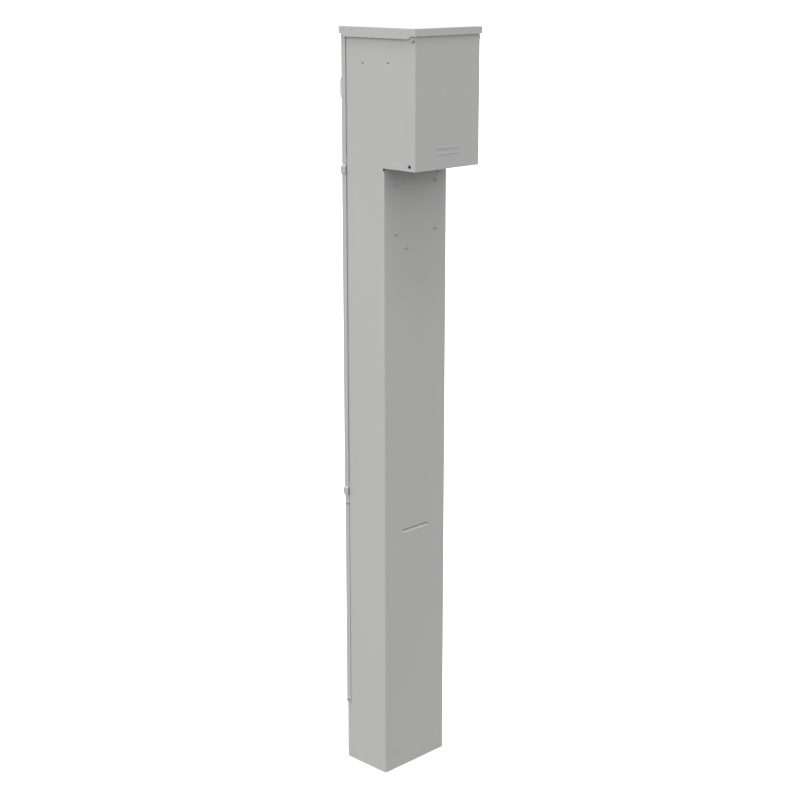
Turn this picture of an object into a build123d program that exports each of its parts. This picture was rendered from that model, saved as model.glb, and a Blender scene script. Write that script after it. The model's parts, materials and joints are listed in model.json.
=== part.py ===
"""Metered electric-vehicle charging post: a folded steel post with an overhanging head.

The post is a U-folded shell whose side walls carry on up as the cheeks of the head.  The head
holds the sockets and breakers behind a flip-up cover, and the meter on its back.  Three rear
covers close the back of the shell.  Millimetres, +Z up, front towards -Y, origin on the ground
at the middle of the post.
"""
from build123d import *
import os

os.makedirs("parts", exist_ok=True)

# ---- overall sizes ---------------------------------------------------------------------
post_width = 216.0          # across the side walls
post_depth = 141.5          # front wall to the rear edge of the side walls
head_bottom = 1584.0        # ground to the underside of the head
head_height = 328.5         # underside of the head to the top of the cap
head_reach = 105.0          # how far the head stands out in front of the post
shell_sheet = 2.0           # post shell
panel_sheet = 1.5           # cap, flip cover, floor, pan and dead front
cover_sheet = 1.2           # rear covers

# ---- cap -------------------------------------------------------------------------------
cap_side_overhang = 7.0
cap_front_overhang = 3.6
cap_rear_overhang = 7.2
cap_fascia = 17.5           # depth of the front and rear edges
cap_skirt = 24.2            # depth of the side edges
skirt_front_setback = 14.7  # shallow stretch of the skirt at the front, clear of the pivot
skirt_rear_setback = 10.5
cap_rivet_y = (-134.7, 35.0)
cap_rivet_drop = 7.2        # rivet centre below the cap's top
rivet_r = 1.6

# ---- flip cover and its pivot ----------------------------------------------------------
flip_side_gap = 1.0         # between the cheek and the flange that laps it
flip_flange = 31.0          # depth of the flanges
flip_tuck = 4.0             # the cover's top edge, up behind the cap's front edge
pivot_drop = 25.7           # pivot below the cap's top
pivot_shaft_r = 3.0
pivot_clearance = 0.1
pivot_head_r = 6.5
pivot_head = 5.5
pivot_nut_r = 5.5
pivot_nut = 5.0
pivot_thread_end = 3.5      # screw beyond its nut
washer_play = 0.3           # of the pivot washer, and under the screw's head
cheek_lobe_r = 6.2          # rounded corner of the cheek about the pivot
cheek_step_back = 12.0      # the cheek's top edge steps up this far behind the pivot
bumper_gap = 0.5            # between the cheek's front edge and the closed cover
padlock_hole_r = 4.75
padlock_setback = 18.9      # behind the cover's front face
padlock_rise = 10.6         # above the head's underside
stiffener_rise = 176.5      # above the head's underside
stiffener_depth = 14.0
stiffener_tall = 30.0
stiffener_end_gap = 4.0     # from the cheek's inside
stiffener_rivet_inset = 20.0
badge_size = (80.0, 16.0)   # blank badge, width and height
badge_thick = 0.8
badge_rise = 43.0           # above the head's underside
bumper_size = (6.0, 8.0, 12.0)

# ---- rear covers -----------------------------------------------------------------------
tongue_gap = 0.1            # between the shell and the tongue that slips under the cover above
tongue_lap = 0.1            # between the tongue and the cover above
middle_cover_ease = 0.2     # middle cover stands out this much more than the upper one
lower_cover_gap = 0.55      # between the shell and the lower cover
bead_out = 4.9              # outer face of the pressed bead beyond the shell
bead_shoulder = 5.5         # sloped top of the bead
bead_flat = 16.5
bead_heel = 3.0             # sloped bottom of the bead
tongue_length = 18.0
cover_lap_gap = 0.5         # between a cover's bottom edge and the bead below it
cover_top_gap = 2.5         # upper cover below the cap's sheet
cover_flange = 12.0         # flange depth from the shell's rear edge
middle_cover_bottom = 761.5
lower_cover_bottom = 158.4
cover_screw_rise = 10.1     # lower screws above the lower cover's bottom edge
cover_screw_drop = 45.0     # upper screws below the lower cover's seam
cover_screw_inset = 5.0     # from the shell's rear edge
cover_screw_head_r = 5.0
cover_screw_head = 2.6

# ---- meter -----------------------------------------------------------------------------
meter_rise = 178.0          # above the head's underside
meter_reach = 58.4          # glass beyond the shell's rear edge
meter_opening_r = 76.0
meter_collar = 6.0
collar_blend = 7.0          # width of the flat ring that seats on the gasket
meter_flange_lap = 10.0     # flange beyond the opening
meter_flange_thick = 6.0
gasket_thick = 2.0
glass_gap = 1.5             # between the glass and the opening
glass_taper = 6.5           # radius lost from the glass's foot to its front
glass_wall = 2.5
glass_round = 7.5
dial_gap = 4.0              # between the dial and the glass's front radius
dial_thick = 1.5
module_inset = 2.0          # module inside the dial's edge
module_depth = 30.0
display_size = (64.0, 20.0) # window in the dial
display_rise = 16.0         # window's middle above the meter's middle
display_thick = 4.0
blade_pitch_x = 64.0
blade_pitch_z = 100.0
blade_size = (2.4, 34.0, 19.0)
blade_root = 3.0            # blade sunk into the meter's base

# ---- inside the head -------------------------------------------------------------------
dead_front_setback = 80.0   # sockets' panel behind the head's front face
rail_size = 12.0
jaw_gap = 7.15              # between a blade's tip and the bottom of its jaw
jaw_base = 3.0
jaw_leaf = 1.8
pan_gap = 42.0              # front face of the pan in front of the bus plane
strap_thick = 3.0
strap_width = 18.0
strap_clear = 17.0          # between a strap and the cheek
load_bus_gap = 11.0         # insulator between the pan and the load bus
stud_r = 4.0
breaker_gap = 50.0          # breakers above the outlet's case
breaker_tall = 76.0
pole_width = 25.4
breaker_nose = (21.0, 30.0) # width of one pole's nose, height
nose_proud = 5.0            # nose in front of the dead front
lever_reach = 12.0          # lever beyond the nose
lever_tilt = 20.0           # lever above level when it is on
lever_hub_r = 5.0
lever_thick = 4.4
lever_pin_r = 1.5
lever_slot_width = 9.0
lever_play = 0.4            # each side of a lever in its slot
fit_gap = 0.5               # round a device that stands in a cut-out
breaker_x = 45.0            # breakers left and right of the middle
outlet_rise = 106.0         # above the head's underside
outlet_inset = 56.0         # sockets' middle from the cheek's inside
big_outlet_r = 28.0
big_outlet_case = 5.0       # case beyond the round face
big_outlet_depth = 38.0
big_outlet_proud = 3.0
big_screw_margin = 7.4      # screws outside the round face, on its diagonal
small_outlet_size = (33.5, 67.0)
small_outlet_case = (44.0, 100.0)
small_outlet_depth = 34.0
small_outlet_proud = 2.0
small_screw_margin = 10.5   # screws above and below the outlet's face
button_size = (12.0, 5.6)
button_pitch = 8.4
button_proud = 1.4
button_travel = 1.0
button_gap = 0.3
button_pocket = 8.0
device_screw_r = 2.1        # screws of the dead front and the ground bar

# ---- inside the post -------------------------------------------------------------------
head_bolt_inset = 26.5      # from the side wall
head_bolt_drop = 19.5       # below the head's underside
head_bolt_head = (6.5, 3.2) # radius and height
bracket_screw_inset = 39.5  # from the side wall
bracket_screw_drops = (161.5, 41.5)
bracket_screw_head = (4.6, 3.0)
ground_screw_x = -33.6
ground_screw_drop = 198.7
bolt_r = 2.5                # shank of the post's bolts and screws
lug_drop = 102.0
lug_x = 30.0
lug_size = (20.0, 22.0, 34.0)
lug_block_depth = 20.0
grade_height = 655.0        # pressed groove that marks the ground on a post set in a trench
grade_width = 90.0
grade_tall = 9.5
grade_deep = 4.5
grade_end = 1.2             # the pressed sheet beyond each end of the groove
base_plate = 3.0
base_upstand = 40.0
base_opening_inset = (36.0, 35.75)
anchor_inset = (21.0, 18.75)
anchor_hole_r = 5.5
cheek_hole_r = 1.7
cheek_sink = (4.2, 1.4)      # countersink, radius and depth
relief = 6.5                # height of the corner relief under the head
cheek_hole_rises = ((2.5, 243.2), (-83.0, 246.4))
notch_half = 31.0           # half the width of a cord notch
notch_depth = 52.0
notch_corner = 14.0
bushing_wall = 2.5
bushing_tall = 4.0

# ---- places worked out from the sizes above --------------------------------------------
total_height = head_bottom + head_height
half = post_width / 2
inner = half - shell_sheet
front = -post_depth / 2
rear = post_depth / 2
head_front = front - head_reach
cap_under = total_height - panel_sheet
plate_back = head_front + panel_sheet
cheek_edge = plate_back + bumper_gap
pivot_y = cheek_edge + cheek_lobe_r
pivot_z = total_height - pivot_drop
flip_half = half + flip_side_gap + panel_sheet
flip_top = total_height - cap_fascia + flip_tuck
padlock_y = head_front + padlock_setback
padlock_z = head_bottom + padlock_rise
stiffener_z = head_bottom + stiffener_rise
stiffener_half = inner - stiffener_end_gap
stiffener_rivet_x = stiffener_half - stiffener_rivet_inset
dead_front_y = head_front + dead_front_setback
dead_back_y = dead_front_y + panel_sheet
floor_top = head_bottom + panel_sheet
outlet_x = inner - outlet_inset
outlet_z = head_bottom + outlet_rise
breaker_z = outlet_z + small_outlet_case[1] / 2 + breaker_gap + breaker_tall / 2
cheek_holes = [(y, head_bottom + rise) for y, rise in cheek_hole_rises]
head_bolt_x = half - head_bolt_inset
head_bolt_z = head_bottom - head_bolt_drop
bracket_x = half - bracket_screw_inset
bracket_screw_z = [head_bottom - drop for drop in bracket_screw_drops]
ground_screw_z = head_bottom - ground_screw_drop
lug_z = head_bottom - lug_drop

upper_cover_out = tongue_gap + cover_sheet + tongue_lap + cover_sheet
middle_cover_out = upper_cover_out + middle_cover_ease
lower_cover_out = lower_cover_gap + cover_sheet

meter_z = head_bottom + meter_rise
meter_face = rear + upper_cover_out - cover_sheet - gasket_thick
meter_tip = rear + meter_reach
meter_flange_r = meter_opening_r + meter_flange_lap
glass_base_r = meter_opening_r - glass_gap
glass_front_r = glass_base_r - glass_taper
dial_r = glass_front_r - dial_gap
module_r = dial_r - module_inset
blade_tip = meter_face - blade_root - blade_size[1]
bus_y = blade_tip - jaw_gap - jaw_base - strap_thick
pan_y = bus_y - pan_gap
load_bus_y = pan_y - load_bus_gap
breaker_back = load_bus_y - strap_thick


def block(low, high, mode=Mode.ADD):
    """Add a box given by its lowest and its highest corner."""
    with Locations(tuple((a + b) / 2 for a, b in zip(low, high))):
        Box(*[b - a for a, b in zip(low, high)], mode=mode)


def rod(start, direction, radius, length, mode=Mode.ADD):
    """Add a cylinder that starts at a point and runs along a direction."""
    with BuildSketch(Plane(origin=start, z_dir=direction)) as disc:
        Circle(radius)
    extrude(disc.sketch, amount=length, mode=mode)


def screw(start, direction, head_r, head, shank_r, shank):
    """Add a domed screw: its head stands out along the direction, its shank runs the other way."""
    back = tuple(-d for d in direction)
    with BuildSketch(Plane(origin=start, z_dir=direction)) as base:
        Circle(head_r)
    with BuildSketch(Plane(origin=start, z_dir=direction).offset(head)) as crown:
        Circle(head_r * 0.72)
    loft([base.sketch, crown.sketch], ruled=True)
    rod(start, back, shank_r, shank)


# ---- side panels: one sheet each, from the foot up into the head's cheek -----------------
cheek_bores = [(padlock_y, padlock_z, padlock_hole_r), (pivot_y, pivot_z, pivot_shaft_r)]
cheek_bores += [(y, z, cheek_hole_r) for y, z in cheek_holes]


def side_panel(side):
    """Add the inverted-L panel of the left (-1) or right (+1) side."""
    low, high = sorted((side * half, side * inner))
    with BuildSketch(Plane.YZ.offset(low)) as cheek:
        with BuildLine():
            outline = Polyline(
                (cheek_edge, pivot_z),
                (cheek_edge, head_bottom),
                (front, head_bottom),
                (front, 0),
                (rear, 0),
                (rear, cap_under),
                (pivot_y + cheek_step_back + cap_under - pivot_z - cheek_lobe_r, cap_under),
                (pivot_y + cheek_step_back, pivot_z + cheek_lobe_r),
                (pivot_y, pivot_z + cheek_lobe_r),
            )
            RadiusArc(outline @ 1, outline @ 0, -cheek_lobe_r)
        make_face()
    extrude(cheek.sketch, amount=shell_sheet)
    # relief in the inner corner, where the post stops below the head
    block((low, front, head_bottom - relief), (high, front + 5, head_bottom), Mode.SUBTRACT)
    for y, z, radius in cheek_bores:
        rod((low - 1, y, z), (1, 0, 0), radius, shell_sheet + 2, Mode.SUBTRACT)
    sink_r, sink_deep = cheek_sink
    for y, z in cheek_holes:
        outside = Plane(origin=(side * half, y, z), z_dir=(side, 0, 0))
        with BuildSketch(outside) as mouth:
            Circle(sink_r)
        with BuildSketch(outside.offset(-sink_deep)) as throat:
            Circle(cheek_hole_r)
        loft([throat.sketch, mouth.sketch], ruled=True, mode=Mode.SUBTRACT)


with BuildPart() as left_side_panel:
    side_panel(-1)
left_side_panel.part.label = "left_side_panel"
export_step(left_side_panel.part, "parts/left_side_panel.step")

with BuildPart() as right_side_panel:
    side_panel(1)
right_side_panel.part.label = "right_side_panel"
export_step(right_side_panel.part, "parts/right_side_panel.step")

# ---- front panel of the post, with the groove that marks the ground ---------------------
def grade_prism(foot, half_tall, half_wide, mode):
    """Add or cut the three-sided prism that runs across the panel from a plane at y = foot."""
    with BuildSketch(Plane.YZ.offset(-half_wide)) as wedge:
        with BuildLine():
            Polyline(
                (foot, grade_height - half_tall),
                (foot + grade_deep, grade_height),
                (foot, grade_height + half_tall),
                close=True,
            )
        make_face()
    extrude(wedge.sketch, amount=2 * half_wide, mode=mode)


with BuildPart() as front_panel:
    block((-inner, front, 0), (inner, front + shell_sheet, head_bottom))
    for side in (-1, 1):
        low, high = sorted((side * (inner + 1), side * (inner - shell_sheet)))
        block((low, front - 1, head_bottom - relief), (high, front + 3, head_bottom + 1), Mode.SUBTRACT)
    grade_prism(front + shell_sheet, grade_tall / 2, grade_width / 2 + grade_end, Mode.ADD)
    grade_prism(front, grade_tall / 2, grade_width / 2, Mode.SUBTRACT)
    # clearance holes for the fasteners
    front_holes = [(x, head_bolt_z) for x in (-head_bolt_x, head_bolt_x)]
    front_holes += [(x, z) for x in (-bracket_x, bracket_x) for z in bracket_screw_z]
    front_holes += [(ground_screw_x, ground_screw_z)]
    for x, z in front_holes:
        rod((x, front - 1, z), (0, 1, 0), bolt_r, shell_sheet + 2, Mode.SUBTRACT)
front_panel.part.label = "front_panel"
export_step(front_panel.part, "parts/front_panel.step")

# ---- base plate welded inside the foot, with anchor holes and the conduit opening -------
with BuildPart() as base_frame:
    block((-inner, front + shell_sheet, 0), (inner, rear, base_plate))
    open_x, open_y = inner - base_opening_inset[0], rear - base_opening_inset[1]
    block((-open_x, -open_y, -1), (open_x, open_y, base_plate + 1), Mode.SUBTRACT)
    block((-inner, rear - base_plate, base_plate), (inner, rear, base_upstand))
    with Locations((0, 0, base_plate)):
        with GridLocations(2 * (inner - anchor_inset[0]), 2 * (rear - anchor_inset[1]), 2, 2):
            Hole(anchor_hole_r, depth=base_plate)
base_frame.part.label = "base_frame"
export_step(base_frame.part, "parts/base_frame.step")

# ---- head floor: its rear edge turns down behind the post's front wall ------------------
floor_front = cheek_edge + 1
floor_lip = 5.0
flange_y = front + shell_sheet
with BuildPart() as head_floor:
    block((-inner, floor_front, head_bottom), (inner, flange_y + panel_sheet, floor_top))
    block(
        (-inner + 6, flange_y, head_bottom - 36),
        (inner - 6, flange_y + panel_sheet, head_bottom),
    )
    for side in (-1, 1):
        edge = side * inner
        low, high = sorted((edge, edge - side * panel_sheet))
        block((low, floor_front + 32, floor_top), (high, front - 8, floor_top + floor_lip))
        # rounded notch that lets a cord drop out under the closed cover
        with BuildSketch(Plane.XY.offset(head_bottom - 1)) as notch:
            with Locations((side * outlet_x, floor_front)):
                RectangleRounded(2 * notch_half, 2 * notch_depth, notch_corner)
        extrude(notch.sketch, amount=panel_sheet + 2, mode=Mode.SUBTRACT)
        bolt = (side * head_bolt_x, flange_y - 1, head_bolt_z)
        rod(bolt, (0, 1, 0), bolt_r, panel_sheet + 2, Mode.SUBTRACT)
head_floor.part.label = "head_floor"
export_step(head_floor.part, "parts/head_floor.step")

# ---- cord bushings that line the notches -----------------------------------------------
with BuildPart() as cord_bushings:
    for side in (-1, 1):
        centre = (side * outlet_x, floor_front)
        wide, deep = 2 * notch_half, 2 * notch_depth
        with BuildSketch(Plane.XY.offset(head_bottom)) as lining:
            with Locations(centre):
                RectangleRounded(wide, deep, notch_corner)
                RectangleRounded(
                    wide - 2 * bushing_wall, deep - 2 * bushing_wall, notch_corner - bushing_wall,
                    mode=Mode.SUBTRACT,
                )
            with Locations((side * outlet_x, floor_front - notch_depth)):
                Rectangle(3 * notch_half, 2 * notch_depth, mode=Mode.SUBTRACT)
        extrude(lining.sketch, amount=bushing_tall)
cord_bushings.part.label = "cord_bushings"
export_step(cord_bushings.part, "parts/cord_bushings.step")

# ---- bolts that hold the head floor to the post's front wall ---------------------------
with BuildPart() as head_bolts:
    for x in (-head_bolt_x, head_bolt_x):
        start = (x, front, head_bolt_z)
        screw(start, (0, -1, 0), *head_bolt_head, bolt_r, shell_sheet + panel_sheet + 6)
head_bolts.part.label = "head_bolts"
export_step(head_bolts.part, "parts/head_bolts.step")

with BuildPart() as head_nuts:
    for x in (-head_bolt_x, head_bolt_x):
        plane = Plane(origin=(x, flange_y + panel_sheet, head_bolt_z), z_dir=(0, 1, 0))
        with BuildSketch(plane) as hexagon:
            RegularPolygon(2 * bolt_r, 6)
            Circle(bolt_r, mode=Mode.SUBTRACT)
        extrude(hexagon.sketch, amount=4)
head_nuts.part.label = "head_nuts"
export_step(head_nuts.part, "parts/head_nuts.step")

# ---- cap: shallow fascia front and back, deeper skirts with cut-back ends ---------------
cap_half = half + cap_side_overhang
cap_front = head_front - cap_front_overhang
cap_rear = rear + cap_rear_overhang
fascia_z = total_height - cap_fascia
skirt_z = total_height - cap_skirt
skirt_slope = cap_skirt - cap_fascia
cap_rivet_z = total_height - cap_rivet_drop
with BuildPart() as top_cap:
    block((-cap_half, cap_front, fascia_z), (cap_half, cap_rear, total_height))
    for side in (-1, 1):
        plane = Plane.YZ.offset(cap_half - panel_sheet if side > 0 else -cap_half)
        with BuildSketch(plane) as skirt:
            with BuildLine():
                Polyline(
                    (cap_front + skirt_front_setback, fascia_z),
                    (cap_front + skirt_front_setback + skirt_slope, skirt_z),
                    (cap_rear - skirt_rear_setback - skirt_slope, skirt_z),
                    (cap_rear - skirt_rear_setback, fascia_z),
                    close=True,
                )
            make_face()
        extrude(skirt.sketch, amount=panel_sheet)
    fillet(top_cap.edges().filter_by(Axis.Z).filter_by(lambda e: e.length > cap_fascia - 1), 1.2)
    block(
        (-cap_half + panel_sheet, cap_front + panel_sheet, skirt_z - 1),
        (cap_half - panel_sheet, cap_rear - panel_sheet, cap_under),
        Mode.SUBTRACT,
    )
    for y in cap_rivet_y:
        rod((-cap_half - 1, y, cap_rivet_z), (1, 0, 0), rivet_r, 2 * cap_half + 2, Mode.SUBTRACT)
top_cap.part.label = "top_cap"
export_step(top_cap.part, "parts/top_cap.step")

# ---- rails that fill the gap between the cheeks and the cap's skirts --------------------
rail_low = skirt_z + 1
with BuildPart() as cap_rails:
    for side in (-1, 1):
        low, high = sorted((side * half, side * (cap_half - panel_sheet)))
        block((low, cap_rivet_y[0] - 5, rail_low), (high, cap_rivet_y[1] + 12, cap_under))
    for y in cap_rivet_y:
        rod((-cap_half, y, cap_rivet_z), (1, 0, 0), rivet_r, 2 * cap_half, Mode.SUBTRACT)
cap_rails.part.label = "cap_rails"
export_step(cap_rails.part, "parts/cap_rails.step")

with BuildPart() as cap_rivets:
    for side in (-1, 1):
        for y in cap_rivet_y:
            start = (side * cap_half, y, cap_rivet_z)
            screw(start, (side, 0, 0), 2.3, 0.6, rivet_r, cap_half - half)
cap_rivets.part.label = "cap_rivets"
export_step(cap_rivets.part, "parts/cap_rivets.step")

# ---- flip cover: front plate with flanges that lap the cheeks ---------------------------
flange_rear = head_front + flip_flange
with BuildPart() as flip_cover:
    block((-flip_half, head_front, head_bottom), (flip_half, flange_rear, flip_top))
    fillet(flip_cover.edges().filter_by(Axis.Z).group_by(Axis.Y)[0], 1.2)
    block(
        (-flip_half + panel_sheet, head_front + panel_sheet, head_bottom - 1),
        (flip_half - panel_sheet, flange_rear + 1, flip_top + 1),
        Mode.SUBTRACT,
    )
    for y, z, radius in (
        (padlock_y, padlock_z, padlock_hole_r),
        (pivot_y, pivot_z, pivot_shaft_r + pivot_clearance),
    ):
        rod((-flip_half - 1, y, z), (1, 0, 0), radius, 2 * flip_half + 2, Mode.SUBTRACT)
    for x in (-stiffener_rivet_x, 0, stiffener_rivet_x):
        rod((x, head_front - 1, stiffener_z), (0, 1, 0), rivet_r, panel_sheet + 2, Mode.SUBTRACT)
flip_cover.part.label = "flip_cover"
export_step(flip_cover.part, "parts/flip_cover.step")

# ---- hat-section stiffener riveted across the inside of the flip cover ------------------
with BuildPart() as cover_stiffener:
    with BuildSketch(Plane.YZ.offset(-stiffener_half)) as hat:
        with Locations((plate_back + stiffener_depth / 2, stiffener_z)):
            Rectangle(stiffener_depth, stiffener_tall)
        with Locations((plate_back + stiffener_depth / 2 + panel_sheet, stiffener_z)):
            Rectangle(stiffener_depth, stiffener_tall - 2 * panel_sheet, mode=Mode.SUBTRACT)
    extrude(hat.sketch, amount=2 * stiffener_half)
    for x in (-stiffener_rivet_x, 0, stiffener_rivet_x):
        rod((x, plate_back - 1, stiffener_z), (0, 1, 0), rivet_r, panel_sheet + 2, Mode.SUBTRACT)
cover_stiffener.part.label = "cover_stiffener"
export_step(cover_stiffener.part, "parts/cover_stiffener.step")

with BuildPart() as stiffener_rivets:
    for x in (-stiffener_rivet_x, 0, stiffener_rivet_x):
        start = (x, head_front, stiffener_z)
        screw(start, (0, -1, 0), 2.4, 0.5, rivet_r, 2 * panel_sheet + 0.8)
stiffener_rivets.part.label = "stiffener_rivets"
export_step(stiffener_rivets.part, "parts/stiffener_rivets.step")

# ---- blank badge on the flip cover ------------------------------------------------------
badge_plane = Plane(origin=(0, head_front, head_bottom + badge_rise), x_dir=(1, 0, 0), z_dir=(0, -1, 0))
with BuildPart() as blank_badge:
    with BuildSketch(badge_plane) as face:
        RectangleRounded(*badge_size, 3)
    extrude(face.sketch, amount=badge_thick)
    chamfer(blank_badge.faces().sort_by(Axis.Y)[0].edges(), 0.35)
blank_badge.part.label = "blank_badge"
export_step(blank_badge.part, "parts/blank_badge.step")

# ---- rubber bumpers that the closed cover rests on --------------------------------------
bumper_wide, bumper_deep, bumper_tall = bumper_size
with BuildPart() as cover_bumpers:
    for side in (-1, 1):
        for z in (head_bottom + 40, stiffener_z + 60):
            low, high = sorted((side * half, side * (inner - bumper_wide)))
            block((low, plate_back, z), (high, cheek_edge, z + bumper_tall))
            low, high = sorted((side * inner, side * (inner - bumper_wide)))
            block((low, cheek_edge, z), (high, cheek_edge + bumper_deep, z + bumper_tall))
cover_bumpers.part.label = "cover_bumpers"
export_step(cover_bumpers.part, "parts/cover_bumpers.step")

# ---- pivot screws, washers and nuts -----------------------------------------------------
screw_seat = flip_half + washer_play
pivot_shaft = screw_seat - inner + pivot_nut + pivot_thread_end
with BuildPart() as pivot_screws:
    for side in (-1, 1):
        start = (side * screw_seat, pivot_y, pivot_z)
        screw(start, (side, 0, 0), pivot_head_r, pivot_head, pivot_shaft_r, pivot_shaft)
pivot_screws.part.label = "pivot_screws"
export_step(pivot_screws.part, "parts/pivot_screws.step")

with BuildPart() as pivot_washers:
    for side in (-1, 1):
        with BuildSketch(Plane(origin=(side * half, pivot_y, pivot_z), z_dir=(side, 0, 0))) as ring:
            Circle(cheek_lobe_r)
            Circle(pivot_shaft_r, mode=Mode.SUBTRACT)
        extrude(ring.sketch, amount=flip_side_gap - washer_play)
pivot_washers.part.label = "pivot_washers"
export_step(pivot_washers.part, "parts/pivot_washers.step")

with BuildPart() as pivot_nuts:
    for side in (-1, 1):
        with BuildSketch(Plane(origin=(side * inner, pivot_y, pivot_z), z_dir=(-side, 0, 0))) as hexagon:
            RegularPolygon(pivot_nut_r, 6)
            Circle(pivot_shaft_r, mode=Mode.SUBTRACT)
        extrude(hexagon.sketch, amount=pivot_nut)
pivot_nuts.part.label = "pivot_nuts"
export_step(pivot_nuts.part, "parts/pivot_nuts.step")


# ---- rear covers ------------------------------------------------------------------------
def cover_body(levels, thickness, mode):
    """Loft a block open to the front through (height, outer offset) levels, less a thickness."""
    sections = []
    y_low = rear - cover_flange - (1 if thickness else 0)
    for z, out in levels:
        y_high = rear + out - thickness
        with BuildSketch(Plane.XY.offset(z)) as section:
            with Locations((0, (y_low + y_high) / 2)):
                Rectangle(2 * (half + out - thickness), y_high - y_low)
        sections.append(section.sketch)
    loft(sections, ruled=True, mode=mode)


def cover_levels(bottom, out, seam):
    """Levels of a cover whose top carries a pressed bead and a tongue, with the seam at a height."""
    tongue = tongue_gap + cover_sheet
    return [
        (bottom, out),
        (seam - bead_shoulder - bead_flat - bead_heel, out),
        (seam - bead_shoulder - bead_flat, bead_out),
        (seam - bead_shoulder, bead_out),
        (seam, tongue),
        (seam + tongue_length, tongue),
    ]


def cover_shell(levels):
    """Cut the inside out of a cover, leaving its sheet."""
    low, high = levels[0], levels[-1]
    inside = [(low[0] - 1, low[1])] + levels[1:-1] + [(high[0] + 1, high[1])]
    cover_body(levels, 0, Mode.ADD)
    cover_body(inside, cover_sheet, Mode.SUBTRACT)


upper_seam = head_bottom
lower_seam = middle_cover_bottom - cover_lap_gap
cover_top = cap_under - cover_top_gap

with BuildPart() as upper_cover:
    cover_shell([(upper_seam + cover_lap_gap, upper_cover_out), (cover_top, upper_cover_out)])
    # drawn collar round the meter opening
    plate_out = rear + upper_cover_out
    seat_r = meter_opening_r + collar_blend
    rod((0, plate_out - cover_sheet, meter_z), (0, 1, 0), seat_r, cover_sheet + 2)
    rod((0, plate_out, meter_z), (0, 1, 0), meter_opening_r + cover_sheet, meter_collar)
    rod((0, rear - 1, meter_z), (0, 1, 0), meter_opening_r, upper_cover_out + meter_collar + 6, Mode.SUBTRACT)
    with BuildSketch(Plane(origin=(0, rear, meter_z), z_dir=(0, 1, 0))) as ring:
        Circle(seat_r - cover_sheet)
    extrude(ring.sketch, amount=upper_cover_out + 2 - cover_sheet, mode=Mode.SUBTRACT)
upper_cover.part.label = "upper_cover"
export_step(upper_cover.part, "parts/upper_cover.step")

with BuildPart() as middle_cover:
    cover_shell(cover_levels(middle_cover_bottom, middle_cover_out, upper_seam))
middle_cover.part.label = "middle_cover"
export_step(middle_cover.part, "parts/middle_cover.step")

cover_screw_y = rear - cover_screw_inset
cover_screw_z = (lower_cover_bottom + cover_screw_rise, lower_seam - cover_screw_drop)
with BuildPart() as lower_cover:
    cover_shell(cover_levels(lower_cover_bottom, lower_cover_out, lower_seam))
    for z in cover_screw_z:
        rod((-half - 9, cover_screw_y, z), (1, 0, 0), bolt_r, post_width + 18, Mode.SUBTRACT)
lower_cover.part.label = "lower_cover"
export_step(lower_cover.part, "parts/lower_cover.step")

with BuildPart() as cover_screws:
    for side in (-1, 1):
        for z in cover_screw_z:
            start = (side * (half + lower_cover_out), cover_screw_y, z)
            screw(start, (side, 0, 0), cover_screw_head_r, cover_screw_head, bolt_r, lower_cover_out)
cover_screws.part.label = "cover_screws"
export_step(cover_screws.part, "parts/cover_screws.step")

# ---- electricity meter: flange behind the cover, glass through its opening --------------
jaw_places = [
    (x, z)
    for x in (-blade_pitch_x / 2, blade_pitch_x / 2)
    for z in (meter_z - blade_pitch_z / 2, meter_z + blade_pitch_z / 2)
]
with BuildPart() as meter_gasket:
    with BuildSketch(Plane(origin=(0, meter_face, meter_z), z_dir=(0, 1, 0))) as ring:
        Circle(meter_flange_r)
        Circle(meter_opening_r + collar_blend, mode=Mode.SUBTRACT)
    extrude(ring.sketch, amount=gasket_thick)
meter_gasket.part.label = "meter_gasket"
export_step(meter_gasket.part, "parts/meter_gasket.step")

with BuildPart() as meter_base:
    rod((0, meter_face - meter_flange_thick, meter_z), (0, 1, 0), meter_flange_r, meter_flange_thick)
    rod((0, meter_face - 16, meter_z), (0, 1, 0), meter_flange_r - 22, 10)
    for x, z in jaw_places:
        block(
            (x - blade_size[0] / 2, meter_face - 17, z - blade_size[2] / 2),
            (x + blade_size[0] / 2, meter_face - blade_root, z + blade_size[2] / 2),
            Mode.SUBTRACT,
        )
meter_base.part.label = "meter_base"
export_step(meter_base.part, "parts/meter_base.step")

with BuildPart() as meter_glass:
    with BuildSketch(Plane.XY) as half_section:
        with BuildLine():
            wall = Polyline(
                (glass_base_r - glass_wall, meter_face),
                (glass_base_r, meter_face),
                (glass_base_r - 1.5, meter_tip - 3 * glass_round),
                (glass_front_r, meter_tip - glass_round),
            )
            dome = RadiusArc(wall @ 1, (glass_front_r - glass_round, meter_tip), -glass_round)
            top = Polyline(dome @ 1, (0, meter_tip), (0, meter_tip - glass_wall),
                           (glass_front_r - glass_round, meter_tip - glass_wall))
            dip = RadiusArc(top @ 1, (glass_front_r - glass_wall, meter_tip - glass_round),
                            glass_round - glass_wall)
            Polyline(dip @ 1, (glass_base_r - 1.5 - glass_wall, meter_tip - 3 * glass_round), wall @ 0)
        make_face()
    revolve(half_section.sketch, axis=Axis.Y)
    meter_glass.part = meter_glass.part.moved(Location((0, 0, meter_z)))
meter_glass.part.label = "meter_glass"
export_step(meter_glass.part, "parts/meter_glass.step")

# ---- meter module: drum, dial plate and display window ----------------------------------
dial_y = meter_face + module_depth
display_z = meter_z + display_rise
window_x, window_z = display_size[0] / 2, display_size[1] / 2
with BuildPart() as meter_module:
    rod((0, meter_face, meter_z), (0, 1, 0), module_r, module_depth)
    block(
        (-window_x - 2, dial_y - display_thick, display_z - window_z - 2),
        (window_x + 2, dial_y + 1, display_z + window_z + 2),
        Mode.SUBTRACT,
    )
meter_module.part.label = "meter_module"
export_step(meter_module.part, "parts/meter_module.step")

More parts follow.
